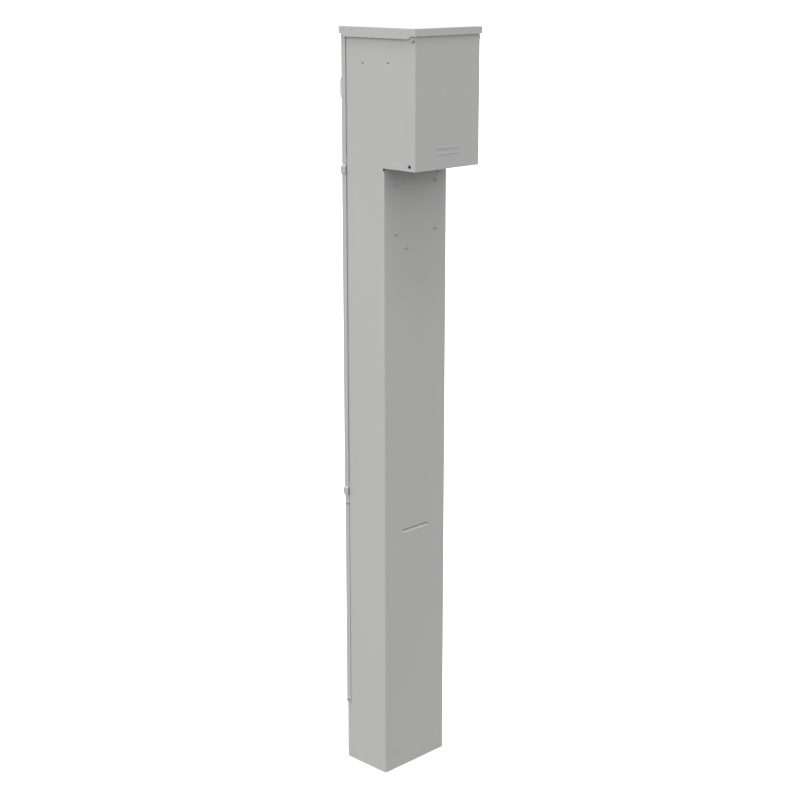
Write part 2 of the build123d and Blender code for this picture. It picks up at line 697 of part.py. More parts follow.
with BuildPart() as meter_dial:
    rod((0, dial_y, meter_z), (0, 1, 0), dial_r, dial_thick)
    block(
        (-window_x, dial_y - 1, display_z - window_z),
        (window_x, dial_y + dial_thick + 1, display_z + window_z),
        Mode.SUBTRACT,
    )
meter_dial.part.label = "meter_dial"
export_step(meter_dial.part, "parts/meter_dial.step")

with BuildPart() as meter_display:
    block(
        (-window_x - 1.5, dial_y - display_thick, display_z - window_z - 1.5),
        (window_x + 1.5, dial_y, display_z + window_z + 1.5),
    )
meter_display.part.label = "meter_display"
export_step(meter_display.part, "parts/meter_display.step")

# ---- meter blades and the spring jaws that grip them ------------------------------------
with BuildPart() as meter_blades:
    for x, z in jaw_places:
        block(
            (x - blade_size[0] / 2, blade_tip, z - blade_size[2] / 2),
            (x + blade_size[0] / 2, meter_face - blade_root, z + blade_size[2] / 2),
        )
meter_blades.part.label = "meter_blades"
export_step(meter_blades.part, "parts/meter_blades.step")

jaw_mouth = meter_face - 21
with BuildPart() as meter_jaws:
    for x, z in jaw_places:
        upper_jaw = z > meter_z
        base_y = bus_y + strap_thick if upper_jaw else bus_y
        grip = blade_size[0] / 2
        block((x - 9, base_y, z - 9), (x + 9, base_y + jaw_base, z + 9))
        for turn in (-1, 1):
            near, far = x + turn * grip, x + turn * (grip + jaw_leaf)
            block((min(near, far), base_y + jaw_base, z - 8), (max(near, far), jaw_mouth, z + 8))
            with BuildSketch(Plane.XY.offset(z - 8)) as flare:
                with BuildLine():
                    Polyline((near, jaw_mouth), (far, jaw_mouth), (far + 3 * turn, jaw_mouth + 4),
                             (near + 3 * turn, jaw_mouth + 4), close=True)
                make_face()
            extrude(flare.sketch, amount=16)
meter_jaws.part.label = "meter_jaws"
export_step(meter_jaws.part, "parts/meter_jaws.step")

# ---- pan across the head, and the insulators on both its faces --------------------------
pan_back = pan_y + panel_sheet
pan_low = floor_top + 18
pan_high = cap_under - 18
stud_places = [(x, z) for x, z in jaw_places if z < meter_z]
with BuildPart() as interior_pan:
    block((-inner, pan_y, pan_low), (inner, pan_back, pan_high))
    for side in (-1, 1):
        low, high = sorted((side * inner, side * (inner - panel_sheet)))
        block((low, pan_y - 14, pan_low), (high, pan_y, pan_high))
    for x, z in stud_places:
        rod((x, pan_y - 1, z), (0, 1, 0), stud_r + 2, panel_sheet + 2, Mode.SUBTRACT)
    for side in (-1, 1):
        # relief round the small wiring holes in the cheeks
        for y, z in cheek_holes:
            rod((side * (inner - 4), y, z), (side, 0, 0), cheek_hole_r + 1, 6, Mode.SUBTRACT)
interior_pan.part.label = "interior_pan"
export_step(interior_pan.part, "parts/interior_pan.step")

with BuildPart() as meter_blocks:
    block_half = blade_pitch_x / 2 + 18
    for z in (meter_z - blade_pitch_z / 2, meter_z + blade_pitch_z / 2):
        block((-block_half, pan_back, z - 15), (block_half, bus_y, z + 15))
        block((-14, bus_y - 16, z - 16), (14, bus_y + 1, z + 16), Mode.SUBTRACT)
    for x, z in stud_places:
        rod((x, pan_back - 1, z), (0, 1, 0), stud_r, bus_y - pan_back + 2, Mode.SUBTRACT)
meter_blocks.part.label = "meter_blocks"
export_step(meter_blocks.part, "parts/meter_blocks.step")

with BuildPart() as load_studs:
    for x, z in stud_places:
        rod((x, load_bus_y - strap_thick, z), (0, 1, 0), stud_r, bus_y - load_bus_y + strap_thick)
load_studs.part.label = "load_studs"
export_step(load_studs.part, "parts/load_studs.step")

bus_low = meter_z - blade_pitch_z / 2 - 10
bus_top = breaker_z + breaker_tall / 2
left_pole_x = -breaker_x - pole_width / 2
with BuildPart() as bus_insulator:
    block((left_pole_x - 14, load_bus_y, bus_low - 6), (breaker_x + 14, pan_y, bus_top + 8))
    for x, z in stud_places:
        rod((x, load_bus_y - 1, z), (0, 1, 0), stud_r, load_bus_gap + 2, Mode.SUBTRACT)
bus_insulator.part.label = "bus_insulator"
export_step(bus_insulator.part, "parts/bus_insulator.step")

with BuildPart() as load_bus:
    for x, z in stud_places:
        block((x - 7, breaker_back, bus_low), (x + 7, load_bus_y, bus_top - 16))
    right_x = blade_pitch_x / 2
    block((left_pole_x - 7, breaker_back, bus_top - 10), (right_x + 7, load_bus_y, bus_top - 1))
    block((right_x - 7, breaker_back, bus_top - 17), (right_x + 7, load_bus_y, bus_top - 10))
    block((left_pole_x - 7, breaker_back, bus_top - 50), (left_pole_x + 7, load_bus_y, bus_top - 10))
    for x, z in stud_places:
        rod((x, breaker_back - 1, z), (0, 1, 0), stud_r, strap_thick + 2, Mode.SUBTRACT)
load_bus.part.label = "load_bus"
export_step(load_bus.part, "parts/load_bus.step")

# ---- landing lugs in the post, and the straps that feed the meter's upper jaws ----------
strap_x = inner - strap_clear - strap_width / 2
strap_turn = head_bottom - 14
jaw_top_z = meter_z + blade_pitch_z / 2


def strap_run(first, last):
    """Add one straight run of a strap between two (x, z) points on its middle line."""
    reach = strap_width / 2
    (x_low, x_high), (z_low, z_high) = (sorted(ends) for ends in zip(first, last))
    block((x_low - reach, bus_y, z_low - reach), (x_high + reach, bus_y + strap_thick, z_high + reach))


with BuildPart() as line_straps:
    for side in (-1, 1):
        corners = [(lug_x, lug_z - 5), (lug_x, strap_turn), (strap_x, strap_turn), (strap_x, jaw_top_z)]
        corners += [(blade_pitch_x / 2, jaw_top_z)]
        corners = [(side * x, z) for x, z in corners]
        for first, last in zip(corners, corners[1:]):
            strap_run(first, last)
line_straps.part.label = "line_straps"
export_step(line_straps.part, "parts/line_straps.step")

bracket_half = bracket_x + 9
bracket_low = bracket_screw_z[0] - 12
bracket_high = bracket_screw_z[1] + 5
lug_block_y = bus_y - lug_block_depth
web_x = lug_x + 22
web_inside = web_x - panel_sheet
with BuildPart() as lug_bracket:
    block((-bracket_half, flange_y, bracket_low), (bracket_half, flange_y + panel_sheet, bracket_high))
    block((-web_x, flange_y, bracket_low), (web_x, lug_block_y, bracket_high))
    block(
        (-web_inside, flange_y - 1, bracket_low - 1),
        (web_inside, lug_block_y - panel_sheet, bracket_high + 1),
        Mode.SUBTRACT,
    )
    for x in (-bracket_x, bracket_x):
        for z in bracket_screw_z:
            rod((x, flange_y - 1, z), (0, 1, 0), bolt_r, panel_sheet + 2, Mode.SUBTRACT)
lug_bracket.part.label = "lug_bracket"
export_step(lug_bracket.part, "parts/lug_bracket.step")

with BuildPart() as bracket_screws:
    for x in (-bracket_x, bracket_x):
        for z in bracket_screw_z:
            screw((x, front, z), (0, -1, 0), *bracket_screw_head, bolt_r, shell_sheet + panel_sheet + 5)
bracket_screws.part.label = "bracket_screws"
export_step(bracket_screws.part, "parts/bracket_screws.step")

with BuildPart() as lug_block:
    block((-lug_x - 16, lug_block_y, lug_z - 36), (lug_x + 16, bus_y, lug_z + 36))
    for x in (-lug_x / 2, lug_x / 2):
        block((x - 2, bus_y - 12, lug_z - 37), (x + 2, bus_y + 1, lug_z + 37), Mode.SUBTRACT)
lug_block.part.label = "lug_block"
export_step(lug_block.part, "parts/lug_block.step")


lug_bore_r = 7.5
lug_screw_r = 4.5


def lug(x, back):
    """Add a wire lug with a hole from below and a threaded hole from the back."""
    width, depth, tall = lug_size
    block((x - width / 2, back, lug_z - tall / 2), (x + width / 2, back + depth, lug_z + tall / 2))
    rod((x, back + depth / 2, lug_z - tall / 2 - 1), (0, 0, 1), lug_bore_r, tall + 2, Mode.SUBTRACT)
    rod((x, back + depth / 2, lug_z), (0, 1, 0), lug_screw_r, depth, Mode.SUBTRACT)


with BuildPart() as line_lugs:
    for x in (-lug_x, lug_x):
        lug(x, bus_y + strap_thick)
line_lugs.part.label = "line_lugs"
export_step(line_lugs.part, "parts/line_lugs.step")

with BuildPart() as neutral_lug:
    lug(0, bus_y)
neutral_lug.part.label = "neutral_lug"
export_step(neutral_lug.part, "parts/neutral_lug.step")

with BuildPart() as lug_screws:
    for x, back in ((-lug_x, bus_y + strap_thick), (0, bus_y), (lug_x, bus_y + strap_thick)):
        rod((x, back + lug_size[1] - 5, lug_z), (0, 1, 0), lug_screw_r, 7)
        with BuildSketch(Plane(origin=(x, back + lug_size[1] + 2.1, lug_z), z_dir=(0, -1, 0))) as socket:
            RegularPolygon(2.6, 6)
        extrude(socket.sketch, amount=4, mode=Mode.SUBTRACT)
lug_screws.part.label = "lug_screws"
export_step(lug_screws.part, "parts/lug_screws.step")

bar_depth = 10.0
bar_steps = (-26, -14, 14, 26)
with BuildPart() as ground_bar:
    block(
        (ground_screw_x - 35, flange_y, ground_screw_z - 7),
        (ground_screw_x + 35, flange_y + bar_depth, ground_screw_z + 7),
    )
    rod((ground_screw_x, flange_y - 1, ground_screw_z), (0, 1, 0), bolt_r, bar_depth + 2, Mode.SUBTRACT)
    for step in bar_steps:
        wire_y = flange_y + bar_depth / 2
        rod((ground_screw_x + step, wire_y, ground_screw_z - 8), (0, 0, 1), 2.6, 16, Mode.SUBTRACT)
        rod((ground_screw_x + step, wire_y, ground_screw_z), (0, 1, 0), device_screw_r, 6, Mode.SUBTRACT)
ground_bar.part.label = "ground_bar"
export_step(ground_bar.part, "parts/ground_bar.step")

with BuildPart() as ground_screws:
    start = (ground_screw_x, front, ground_screw_z)
    screw(start, (0, -1, 0), *bracket_screw_head, bolt_r, shell_sheet + bar_depth)
    for step in bar_steps:
        start = (ground_screw_x + step, flange_y + bar_depth, ground_screw_z)
        screw(start, (0, 1, 0), 3.4, 2, device_screw_r, 2.4)
ground_screws.part.label = "ground_screws"
export_step(ground_screws.part, "parts/ground_screws.step")

# ---- dead front: the panel that the sockets and breakers look through -------------------
dead_low = floor_top + floor_lip + 1
dead_high = cap_under - 16
cut_half = [size / 2 + fit_gap for size in small_outlet_size]
big_screw_step = (big_outlet_r + big_screw_margin) / 2**0.5
small_screw_step = small_outlet_size[1] / 2 + small_screw_margin
rail_x = inner - rail_size / 2
dead_screws = [(x, z) for x in (-rail_x, rail_x) for z in (dead_low + 22, dead_high - 16)]
outlet_screw_places = [(s * big_screw_step - outlet_x, outlet_z + s * big_screw_step) for s in (-1, 1)]
outlet_screw_places += [(outlet_x, outlet_z + s * small_screw_step) for s in (-1, 1)]
with BuildPart() as dead_front:
    block((-inner + 0.5, dead_front_y, dead_low), (inner - 0.5, dead_back_y, dead_high))
    block((-inner + 0.5, dead_back_y, dead_low), (inner - 0.5, dead_back_y + 14, dead_low + panel_sheet))
    for x, poles in ((-breaker_x, 2), (breaker_x, 1)):
        nose_half = (poles - 1) * pole_width / 2 + breaker_nose[0] / 2 + fit_gap
        nose_tall = breaker_nose[1] / 2 + fit_gap
        block(
            (x - nose_half, dead_front_y - 1, breaker_z - nose_tall),
            (x + nose_half, dead_back_y + 1, breaker_z + nose_tall),
            Mode.SUBTRACT,
        )
    centre = (-outlet_x, dead_front_y - 1, outlet_z)
    rod(centre, (0, 1, 0), big_outlet_r + fit_gap, panel_sheet + 2, Mode.SUBTRACT)
    block(
        (outlet_x - cut_half[0], dead_front_y - 1, outlet_z - cut_half[1]),
        (outlet_x + cut_half[0], dead_back_y + 1, outlet_z + cut_half[1]),
        Mode.SUBTRACT,
    )
    for x, z in dead_screws:
        rod((x, dead_front_y - 1, z), (0, 1, 0), device_screw_r, panel_sheet + 2, Mode.SUBTRACT)
    for x, z in outlet_screw_places:
        rod((x, dead_front_y - 1, z), (0, 1, 0), rivet_r, panel_sheet + 2, Mode.SUBTRACT)
dead_front.part.label = "dead_front"
export_step(dead_front.part, "parts/dead_front.step")

with BuildPart() as dead_front_rails:
    for side in (-1, 1):
        low, high = sorted((side * inner, side * (inner - rail_size)))
        block((low, dead_back_y, dead_low + 6), (high, dead_back_y + rail_size, dead_high))
    for x, z in dead_screws:
        rod((x, dead_back_y - 1, z), (0, 1, 0), device_screw_r, 10, Mode.SUBTRACT)
    for side in (-1, 1):
        for y, z in cheek_holes:
            rod((side * (inner - 3), y, z), (side, 0, 0), cheek_hole_r + 1, 4, Mode.SUBTRACT)
dead_front_rails.part.label = "dead_front_rails"
export_step(dead_front_rails.part, "parts/dead_front_rails.step")

with BuildPart() as dead_front_screws:
    for x, z in dead_screws:
        screw((x, dead_front_y, z), (0, -1, 0), 4.0, 2.2, device_screw_r, panel_sheet + 8)
dead_front_screws.part.label = "dead_front_screws"
export_step(dead_front_screws.part, "parts/dead_front_screws.step")

# ---- breakers with tilting levers -------------------------------------------------------
nose_front = dead_front_y - nose_proud
hub_y = nose_front + lever_hub_r + 1.5
breaker_face = dead_back_y + 1.0
slot_half_tall = lever_hub_r + 3
lever_width = lever_slot_width - 2 * lever_play


def pole_middles(x, poles):
    """The middle of each pole of a breaker."""
    return [x + (pole - (poles - 1) / 2) * pole_width for pole in range(poles)]


def breaker_body(x, poles):
    """Case with one raised nose, and for each pole a slot and a pin hole for the lever."""
    case_half = poles * pole_width / 2 - 0.2
    nose_half = (poles - 1) * pole_width / 2 + breaker_nose[0] / 2
    tall = breaker_nose[1] / 2
    block(
        (x - case_half, breaker_face, breaker_z - breaker_tall / 2),
        (x + case_half, breaker_back, breaker_z + breaker_tall / 2),
    )
    block((x - nose_half, nose_front, breaker_z - tall), (x + nose_half, breaker_face, breaker_z + tall))
    for pole_x in pole_middles(x, poles):
        block(
            (pole_x - lever_slot_width / 2, nose_front - 1, breaker_z - slot_half_tall),
            (pole_x + lever_slot_width / 2, hub_y + lever_hub_r + 1, breaker_z + slot_half_tall),
            Mode.SUBTRACT,
        )
        rod((pole_x - 8, hub_y, breaker_z), (1, 0, 0), lever_pin_r + 0.05, 16, Mode.SUBTRACT)


def breaker_lever(x, poles):
    """Hubs on their pins, each with a paddle; a bar ties the paddles of a two-pole breaker."""
    level = Plane(origin=(0, hub_y, breaker_z), x_dir=(1, 0, 0), z_dir=(0, 0, 1)).rotated((-lever_tilt, 0, 0))
    reach = hub_y - nose_front + lever_reach
    for pole_x in pole_middles(x, poles):
        rod((pole_x - lever_width / 2, hub_y, breaker_z), (1, 0, 0), lever_hub_r, lever_width)
        rod((pole_x - 7.5, hub_y, breaker_z), (1, 0, 0), lever_pin_r, 15)
        with BuildSketch(level.offset(-lever_thick / 2)) as paddle:
            with Locations((pole_x, -reach / 2)):
                Rectangle(lever_width, reach)
        extrude(paddle.sketch, amount=lever_thick)
    if poles > 1:
        with BuildSketch(level.offset(-lever_thick / 2)) as tie:
            with Locations((x, -reach + 3)):
                Rectangle(pole_width + lever_width, 6)
        extrude(tie.sketch, amount=lever_thick)


with BuildPart() as main_breaker:
    breaker_body(-breaker_x, 2)
main_breaker.part.label = "main_breaker"
export_step(main_breaker.part, "parts/main_breaker.step")

with BuildPart() as main_lever:
    breaker_lever(-breaker_x, 2)
main_lever.part.label = "main_lever"
export_step(main_lever.part, "parts/main_lever.step")

with BuildPart() as small_breaker:
    breaker_body(breaker_x, 1)
small_breaker.part.label = "small_breaker"
export_step(small_breaker.part, "parts/small_breaker.step")

with BuildPart() as small_lever:
    breaker_lever(breaker_x, 1)
small_lever.part.label = "small_lever"
export_step(small_lever.part, "parts/small_lever.step")

# ---- vehicle socket: four-slot heavy outlet on its strap ---------------------------------
big_face = dead_front_y - big_outlet_proud
big_half = big_outlet_r + big_outlet_case
big_slots = [(-11.5, 2.0, 2.6, 17.0), (11.5, 2.0, 2.6, 17.0), (0.0, -12.0, 2.6, 15.0)]
big_pin = (-outlet_x, outlet_z + 16)
big_pin_r = 3.6
with BuildPart() as vehicle_outlet:
    rod((-outlet_x, big_face, outlet_z), (0, 1, 0), big_outlet_r, dead_back_y - big_face)
    block(
        (-outlet_x - big_half, dead_back_y, outlet_z - big_half),
        (-outlet_x + big_half, dead_back_y + big_outlet_depth, outlet_z + big_half),
    )
    fillet(vehicle_outlet.edges().filter_by(Axis.Y).filter_by(GeomType.LINE), 5)
    for x, z, wide, tall in big_slots:
        block(
            (x - outlet_x - wide / 2, big_face - 1, outlet_z + z - tall / 2),
            (x - outlet_x + wide / 2, big_face + 24, outlet_z + z + tall / 2),
            Mode.SUBTRACT,
        )
    rod((big_pin[0], big_face - 1, big_pin[1]), (0, 1, 0), big_pin_r, 25, Mode.SUBTRACT)
    for x, z in outlet_screw_places[:2]:
        rod((x, dead_back_y - 1, z), (0, 1, 0), rivet_r, 12, Mode.SUBTRACT)
vehicle_outlet.part.label = "vehicle_outlet"
export_step(vehicle_outlet.part, "parts/vehicle_outlet.step")

with BuildPart() as vehicle_contacts:
    for x, z, wide, tall in big_slots:
        block(
            (x - outlet_x - wide / 2, big_face + 10, outlet_z + z - tall / 2),
            (x - outlet_x + wide / 2, big_face + 24, outlet_z + z + tall / 2),
        )
    rod((big_pin[0], big_face + 10, big_pin[1]), (0, 1, 0), big_pin_r, 14)
vehicle_contacts.part.label = "vehicle_contacts"
export_step(vehicle_contacts.part, "parts/vehicle_contacts.step")

# ---- service outlet: two sockets with test and reset buttons between them ----------------
small_face = dead_front_y - small_outlet_proud
small_slots = [(-6.35, 4.0, 2.0, 8.0), (6.35, 4.0, 2.0, 7.0)]
socket_lift = 21.0
small_cuts = [
    (outlet_x + x, outlet_z + turn * socket_lift + z, wide, tall)
    for turn in (-1, 1)
    for x, z, wide, tall in small_slots
]
face_x, face_z = small_outlet_size[0] / 2, small_outlet_size[1] / 2
case_x, case_z = small_outlet_case[0] / 2, small_outlet_case[1] / 2
pocket_x, pocket_z = button_size[0] / 2 + button_gap, button_size[1] / 2 + button_gap
with BuildPart() as service_outlet:
    block(
        (outlet_x - face_x, small_face, outlet_z - face_z),
        (outlet_x + face_x, dead_back_y, outlet_z + face_z),
    )
    fillet(service_outlet.edges().filter_by(Axis.Y), 2)
    block(
        (outlet_x - case_x, dead_back_y, outlet_z - case_z),
        (outlet_x + case_x, dead_back_y + small_outlet_depth, outlet_z + case_z),
    )
    for x, z, wide, tall in small_cuts:
        block(
            (x - wide / 2, small_face - 1, z - tall / 2),
            (x + wide / 2, small_face + 18, z + tall / 2),
            Mode.SUBTRACT,
        )
    for turn in (-1, 1):
        earth_z = outlet_z + turn * socket_lift - 6
        rod((outlet_x, small_face - 1, earth_z), (0, 1, 0), 2.6, 19, Mode.SUBTRACT)
        screw_z = outlet_z + turn * small_screw_step
        rod((outlet_x, dead_back_y - 1, screw_z), (0, 1, 0), rivet_r, 12, Mode.SUBTRACT)
        button_z = outlet_z + turn * button_pitch / 2
        block(
            (outlet_x - pocket_x, small_face - 1, button_z - pocket_z),
            (outlet_x + pocket_x, small_face + button_pocket, button_z + pocket_z),
            Mode.SUBTRACT,
        )
service_outlet.part.label = "service_outlet"
export_step(service_outlet.part, "parts/service_outlet.step")

with BuildPart() as service_contacts:
    for x, z, wide, tall in small_cuts:
        block((x - wide / 2, small_face + 8, z - tall / 2), (x + wide / 2, small_face + 18, z + tall / 2))
service_contacts.part.label = "service_contacts"
export_step(service_contacts.part, "parts/service_contacts.step")


def button(turn):
    """Add one push button above or below the middle of the service outlet."""
    z = outlet_z + turn * button_pitch / 2
    wide, tall = button_size
    block(
        (outlet_x - wide / 2, small_face - button_proud, z - tall / 2),
        (outlet_x + wide / 2, small_face + button_pocket - button_travel - button_gap, z + tall / 2),
    )


with BuildPart() as test_button:
    button(1)
    chamfer(test_button.faces().sort_by(Axis.Y)[0].edges(), 0.5)
test_button.part.label = "test_button"
export_step(test_button.part, "parts/test_button.step")

with BuildPart() as reset_button:
    button(-1)
    chamfer(reset_button.faces().sort_by(Axis.Y)[0].edges(), 0.5)
reset_button.part.label = "reset_button"
export_step(reset_button.part, "parts/reset_button.step")

# ---- screws that hold both outlets behind the dead front --------------------------------
with BuildPart() as outlet_screws:
    for x, z in outlet_screw_places:
        screw((x, dead_front_y, z), (0, -1, 0), 3.2, 1.6, 1.6, panel_sheet + 8)
outlet_screws.part.label = "outlet_screws"
export_step(outlet_screws.part, "parts/outlet_screws.step")
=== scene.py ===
"""Looks of a metered electric-vehicle charging post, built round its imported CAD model.

The sheets, cases and bars are welded, edge-rounded copies of the CAD pieces.  The badge, the
screws, bolts and rivets, the meter's glass and marks and the ring round the heavy outlet's face
are surfaces worked out with numpy.  Metres, +Z up.
"""

import json
import math

import bmesh
import bpy
import numpy as np
from bpy.props import FloatProperty, FloatVectorProperty, IntProperty, PointerProperty
from bpy.types import Operator, Panel, PropertyGroup
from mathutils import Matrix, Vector


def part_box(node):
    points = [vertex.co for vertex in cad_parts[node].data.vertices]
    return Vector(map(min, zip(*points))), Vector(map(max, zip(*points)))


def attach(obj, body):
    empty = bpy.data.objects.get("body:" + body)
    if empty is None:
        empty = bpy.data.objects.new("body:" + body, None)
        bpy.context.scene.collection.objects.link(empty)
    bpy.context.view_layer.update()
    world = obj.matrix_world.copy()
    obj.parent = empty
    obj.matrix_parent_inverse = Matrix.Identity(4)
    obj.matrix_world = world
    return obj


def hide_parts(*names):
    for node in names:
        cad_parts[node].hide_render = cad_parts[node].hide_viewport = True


bl_info = {
    "name": "Charging Post",
    "version": (1, 0, 0),
    "blender": (4, 5, 0),
    "location": "3D View > Sidebar > Charging Post",
    "description": "Builds the finish and the studio of a metered charging post",
    "category": "Object",
}

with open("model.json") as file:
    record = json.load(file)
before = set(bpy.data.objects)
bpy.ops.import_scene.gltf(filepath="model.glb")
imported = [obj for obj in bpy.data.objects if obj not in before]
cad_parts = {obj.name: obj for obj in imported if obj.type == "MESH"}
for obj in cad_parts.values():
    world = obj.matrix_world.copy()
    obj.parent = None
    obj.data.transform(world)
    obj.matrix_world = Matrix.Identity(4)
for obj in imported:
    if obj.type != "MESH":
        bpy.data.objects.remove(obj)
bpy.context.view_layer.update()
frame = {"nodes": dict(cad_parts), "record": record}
BODY_OF = {
    node: body
    for body, nodes in frame["record"]["behaviour"]["bodies"].items()
    for node in nodes
}
MM = 0.001
WELD = 0.01 * MM
FLAT, SHARP = math.radians(0.6), math.radians(28)
INK, INK_LIFT = 0.05 * MM, 0.04 * MM


def colour(name, description, default):
    """A colour property with a name, a description and its default."""
    return FloatVectorProperty(
        name=name, description=description, default=default, subtype="COLOR", size=3, min=0.0, max=1.0
    )


def length(name, description, millimetres):
    """A length property whose default is given in millimetres."""
    return FloatProperty(
        name=name, description=description, default=millimetres * MM, unit="LENGTH", min=0.0
    )


def number(name, description, default):
    """A plain number property."""
    return FloatProperty(name=name, description=description, default=default, min=0.0)


# ---- settings --------------------------------------------------------------------------


class PostFinish(PropertyGroup):
    """Colours and surface grain of every material on the post."""

    paint: colour("Powder coat", "Colour of the outer steelwork", (0.405, 0.405, 0.402))
    paint_roughness: number("Coat roughness", "Roughness of the powder coat", 0.52)
    paint_grain: length("Coat grain", "Size of the powder coat's fine orange peel", 1.1)
    enamel: colour("Inner enamel", "Colour of the sheets inside the head", (0.62, 0.63, 0.62))
    zinc: colour("Zinc", "Colour of the plated fasteners", (0.40, 0.415, 0.40))
    moulding: colour("Black moulding", "Colour of the breakers and blocks", (0.022, 0.022, 0.024))
    outlet: colour("Grey moulding", "Colour of the service outlet", (0.55, 0.55, 0.53))
    rubber: colour("Rubber", "Colour of the bushings, bumpers and gasket", (0.018, 0.018, 0.018))
    glass: colour("Meter glass", "Tint of the meter's glass", (0.86, 0.93, 0.98))
    glass_depth: colour("Glass depth", "Colour left by a long path through the glass", (0.10, 0.15, 0.23))
    glass_density: number("Glass density", "How fast the glass takes that colour on, per metre", 170.0)
    dial: colour("Dial plate", "Colour of the meter's dial plate", (0.72, 0.72, 0.69))
    copper: colour("Copper", "Colour of the bus bars and contacts", (0.78, 0.44, 0.28))
    aluminium: colour("Aluminium", "Colour of the lugs, straps and jaws", (0.80, 0.81, 0.82))
    badge: colour("Badge", "Colour of the blank badge", (0.41, 0.41, 0.41))
    reset: colour("Reset button", "Colour of the reset button", (0.42, 0.025, 0.02))
    module: colour("Meter moulding", "Colour of the module inside the meter", (0.13, 0.135, 0.14))
    nylon: colour("Nylon", "Colour of the pivots' washers", (0.70, 0.69, 0.64))
    ink: colour("Ink", "Colour of the dial's marks and of the test button", (0.02, 0.02, 0.02))
    dirt: colour("Dirt", "Colour of the splash marks near the foot", (0.22, 0.19, 0.15))


class PostSizes(PropertyGroup):
    """Sizes of the details that the finish adds to the CAD pieces."""

    sheet_round: length("Sheet edge", "Radius on the edges of the outer sheets", 0.45)
    moulding_round: length("Moulding edge", "Radius on the edges of moulded and rubber parts", 0.8)
    badge_bevel: length("Badge bevel", "Width of the badge's sloping border", 1.0)
    badge_corner: length("Badge corner", "Radius of the badge's corners", 3.0)
    fold_round: length("Fold", "Radius outside the folded corners of the post", 2.4)
    glass_wall: length("Glass wall", "Thickness of the meter's glass", 2.4)
    glass_taper: length("Glass taper", "Radius that the glass loses from its foot to its front", 6.5)
    glass_round: length("Glass round", "Radius between the glass's side and its front", 7.5)
    tick_long: length("Long tick", "Length of the long ticks round the dial", 5.0)
    digit_tall: length("Digit height", "Height of the display's digits", 12.0)
    digit_stroke: length("Digit stroke", "Width of a digit's bars", 1.4)
    outlet_face: length("Outlet face", "Radius of the heavy outlet's round face", 28.0)
    around: IntProperty(name="Around", description="Faces round a turned piece", default=72, min=12, max=256)


class PostStage(PropertyGroup):
    """Camera, lights and floor."""

    camera_azimuth: FloatProperty(
        name="Camera azimuth", description="Direction of view, turned from +Y towards +X",
        default=math.radians(45.290), subtype="ANGLE",
    )
    camera_pitch: FloatProperty(
        name="Camera pitch", description="How far the camera looks down",
        default=math.radians(14.905), subtype="ANGLE",
    )
    camera_place: FloatVectorProperty(
        name="Camera place", description="Where the camera stands", default=(-2.9204, -2.9076, 2.0767),
        subtype="XYZ", unit="LENGTH", size=3,
    )
    camera_lens: number("Lens", "Focal length in millimetres on a 36 mm sensor", 75.29)
    sky: number("Sky", "Brightness of the white surround above the horizon", 1.29)
    glow: number("Glow", "Brightness of the surround below the horizon", 0.30)
    top_sun: number("Top light", "Strength of the soft light overhead", 3.0)
    side_sun: number("Side light", "Strength of the soft light on the left", 1.03)
    floor: colour("Floor", "Colour of the floor", (0.86, 0.86, 0.86))
    floor_size: length("Floor size", "Width of the floor", 600000.0)


# ---- meshes ----------------------------------------------------------------------------


def finish_piece(name, mesh, node, material, smooth=30.0):
    """Link a mesh, with one material, as a piece that rides on a CAD node's body.

    Faces that meet at less than smooth degrees are shaded as one; None leaves the shading alone.
    """
    piece = bpy.data.objects.new(name, mesh)
    bpy.context.scene.collection.objects.link(piece)
    mesh.materials.clear()
    mesh.materials.append(material)
    if smooth is not None:
        mesh.polygons.foreach_set("use_smooth", np.ones(len(mesh.polygons), bool))
        mesh.set_sharp_from_angle(angle=math.radians(smooth))
    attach(piece, BODY_OF[node])
    return piece


def grid_faces(rows, columns):
    """Quads of a grid numbered row by row, its last column joined to its first."""
    row, column = np.meshgrid(np.arange(rows - 1), np.arange(columns), indexing="ij")
    right = (column + 1) % columns
    corners = [row * columns + column, row * columns + right,
               (row + 1) * columns + right, (row + 1) * columns + column]
    return np.stack(corners, axis=-1).reshape(-1, 4)


def surface(name, grids, caps=False):
    """One welded, outward-facing mesh from grids of points [row, column, xyz].

    Every row is a loop; caps closes the first and the last row of each grid with a face.
    """
    points, faces, loops, start = [], [], [], 0
    for grid in grids:
        rows, columns = grid.shape[:2]
        points.append(grid.reshape(-1, 3))
        faces.append(grid_faces(rows, columns) + start)
        if caps:
            loops += [list(range(start, start + columns))]
            loops += [list(range(start + (rows - 1) * columns, start + rows * columns))]
        start += rows * columns
    mesh = bpy.data.meshes.new(name)
    mesh.from_pydata(np.concatenate(points).tolist(), [], np.concatenate(faces).tolist() + loops)
    shape = bmesh.new()
    shape.from_mesh(mesh)
    bmesh.ops.remove_doubles(shape, verts=shape.verts, dist=2e-6)
    bmesh.ops.dissolve_degenerate(shape, edges=shape.edges, dist=1e-7)
    bmesh.ops.recalc_face_normals(shape, faces=shape.faces)
    shape.to_mesh(mesh)
    shape.free()
    return mesh


def axes_for(direction):
    """Two unit vectors square to a direction, and the direction itself, right-handed."""
    along = np.asarray(direction, float)
    along /= np.linalg.norm(along)
    helper = np.array([0.0, 0.0, 1.0]) if abs(along[2]) < 0.9 else np.array([1.0, 0.0, 0.0])
    first = np.cross(helper, along)
    first /= np.linalg.norm(first)
    return first, np.cross(along, first), along


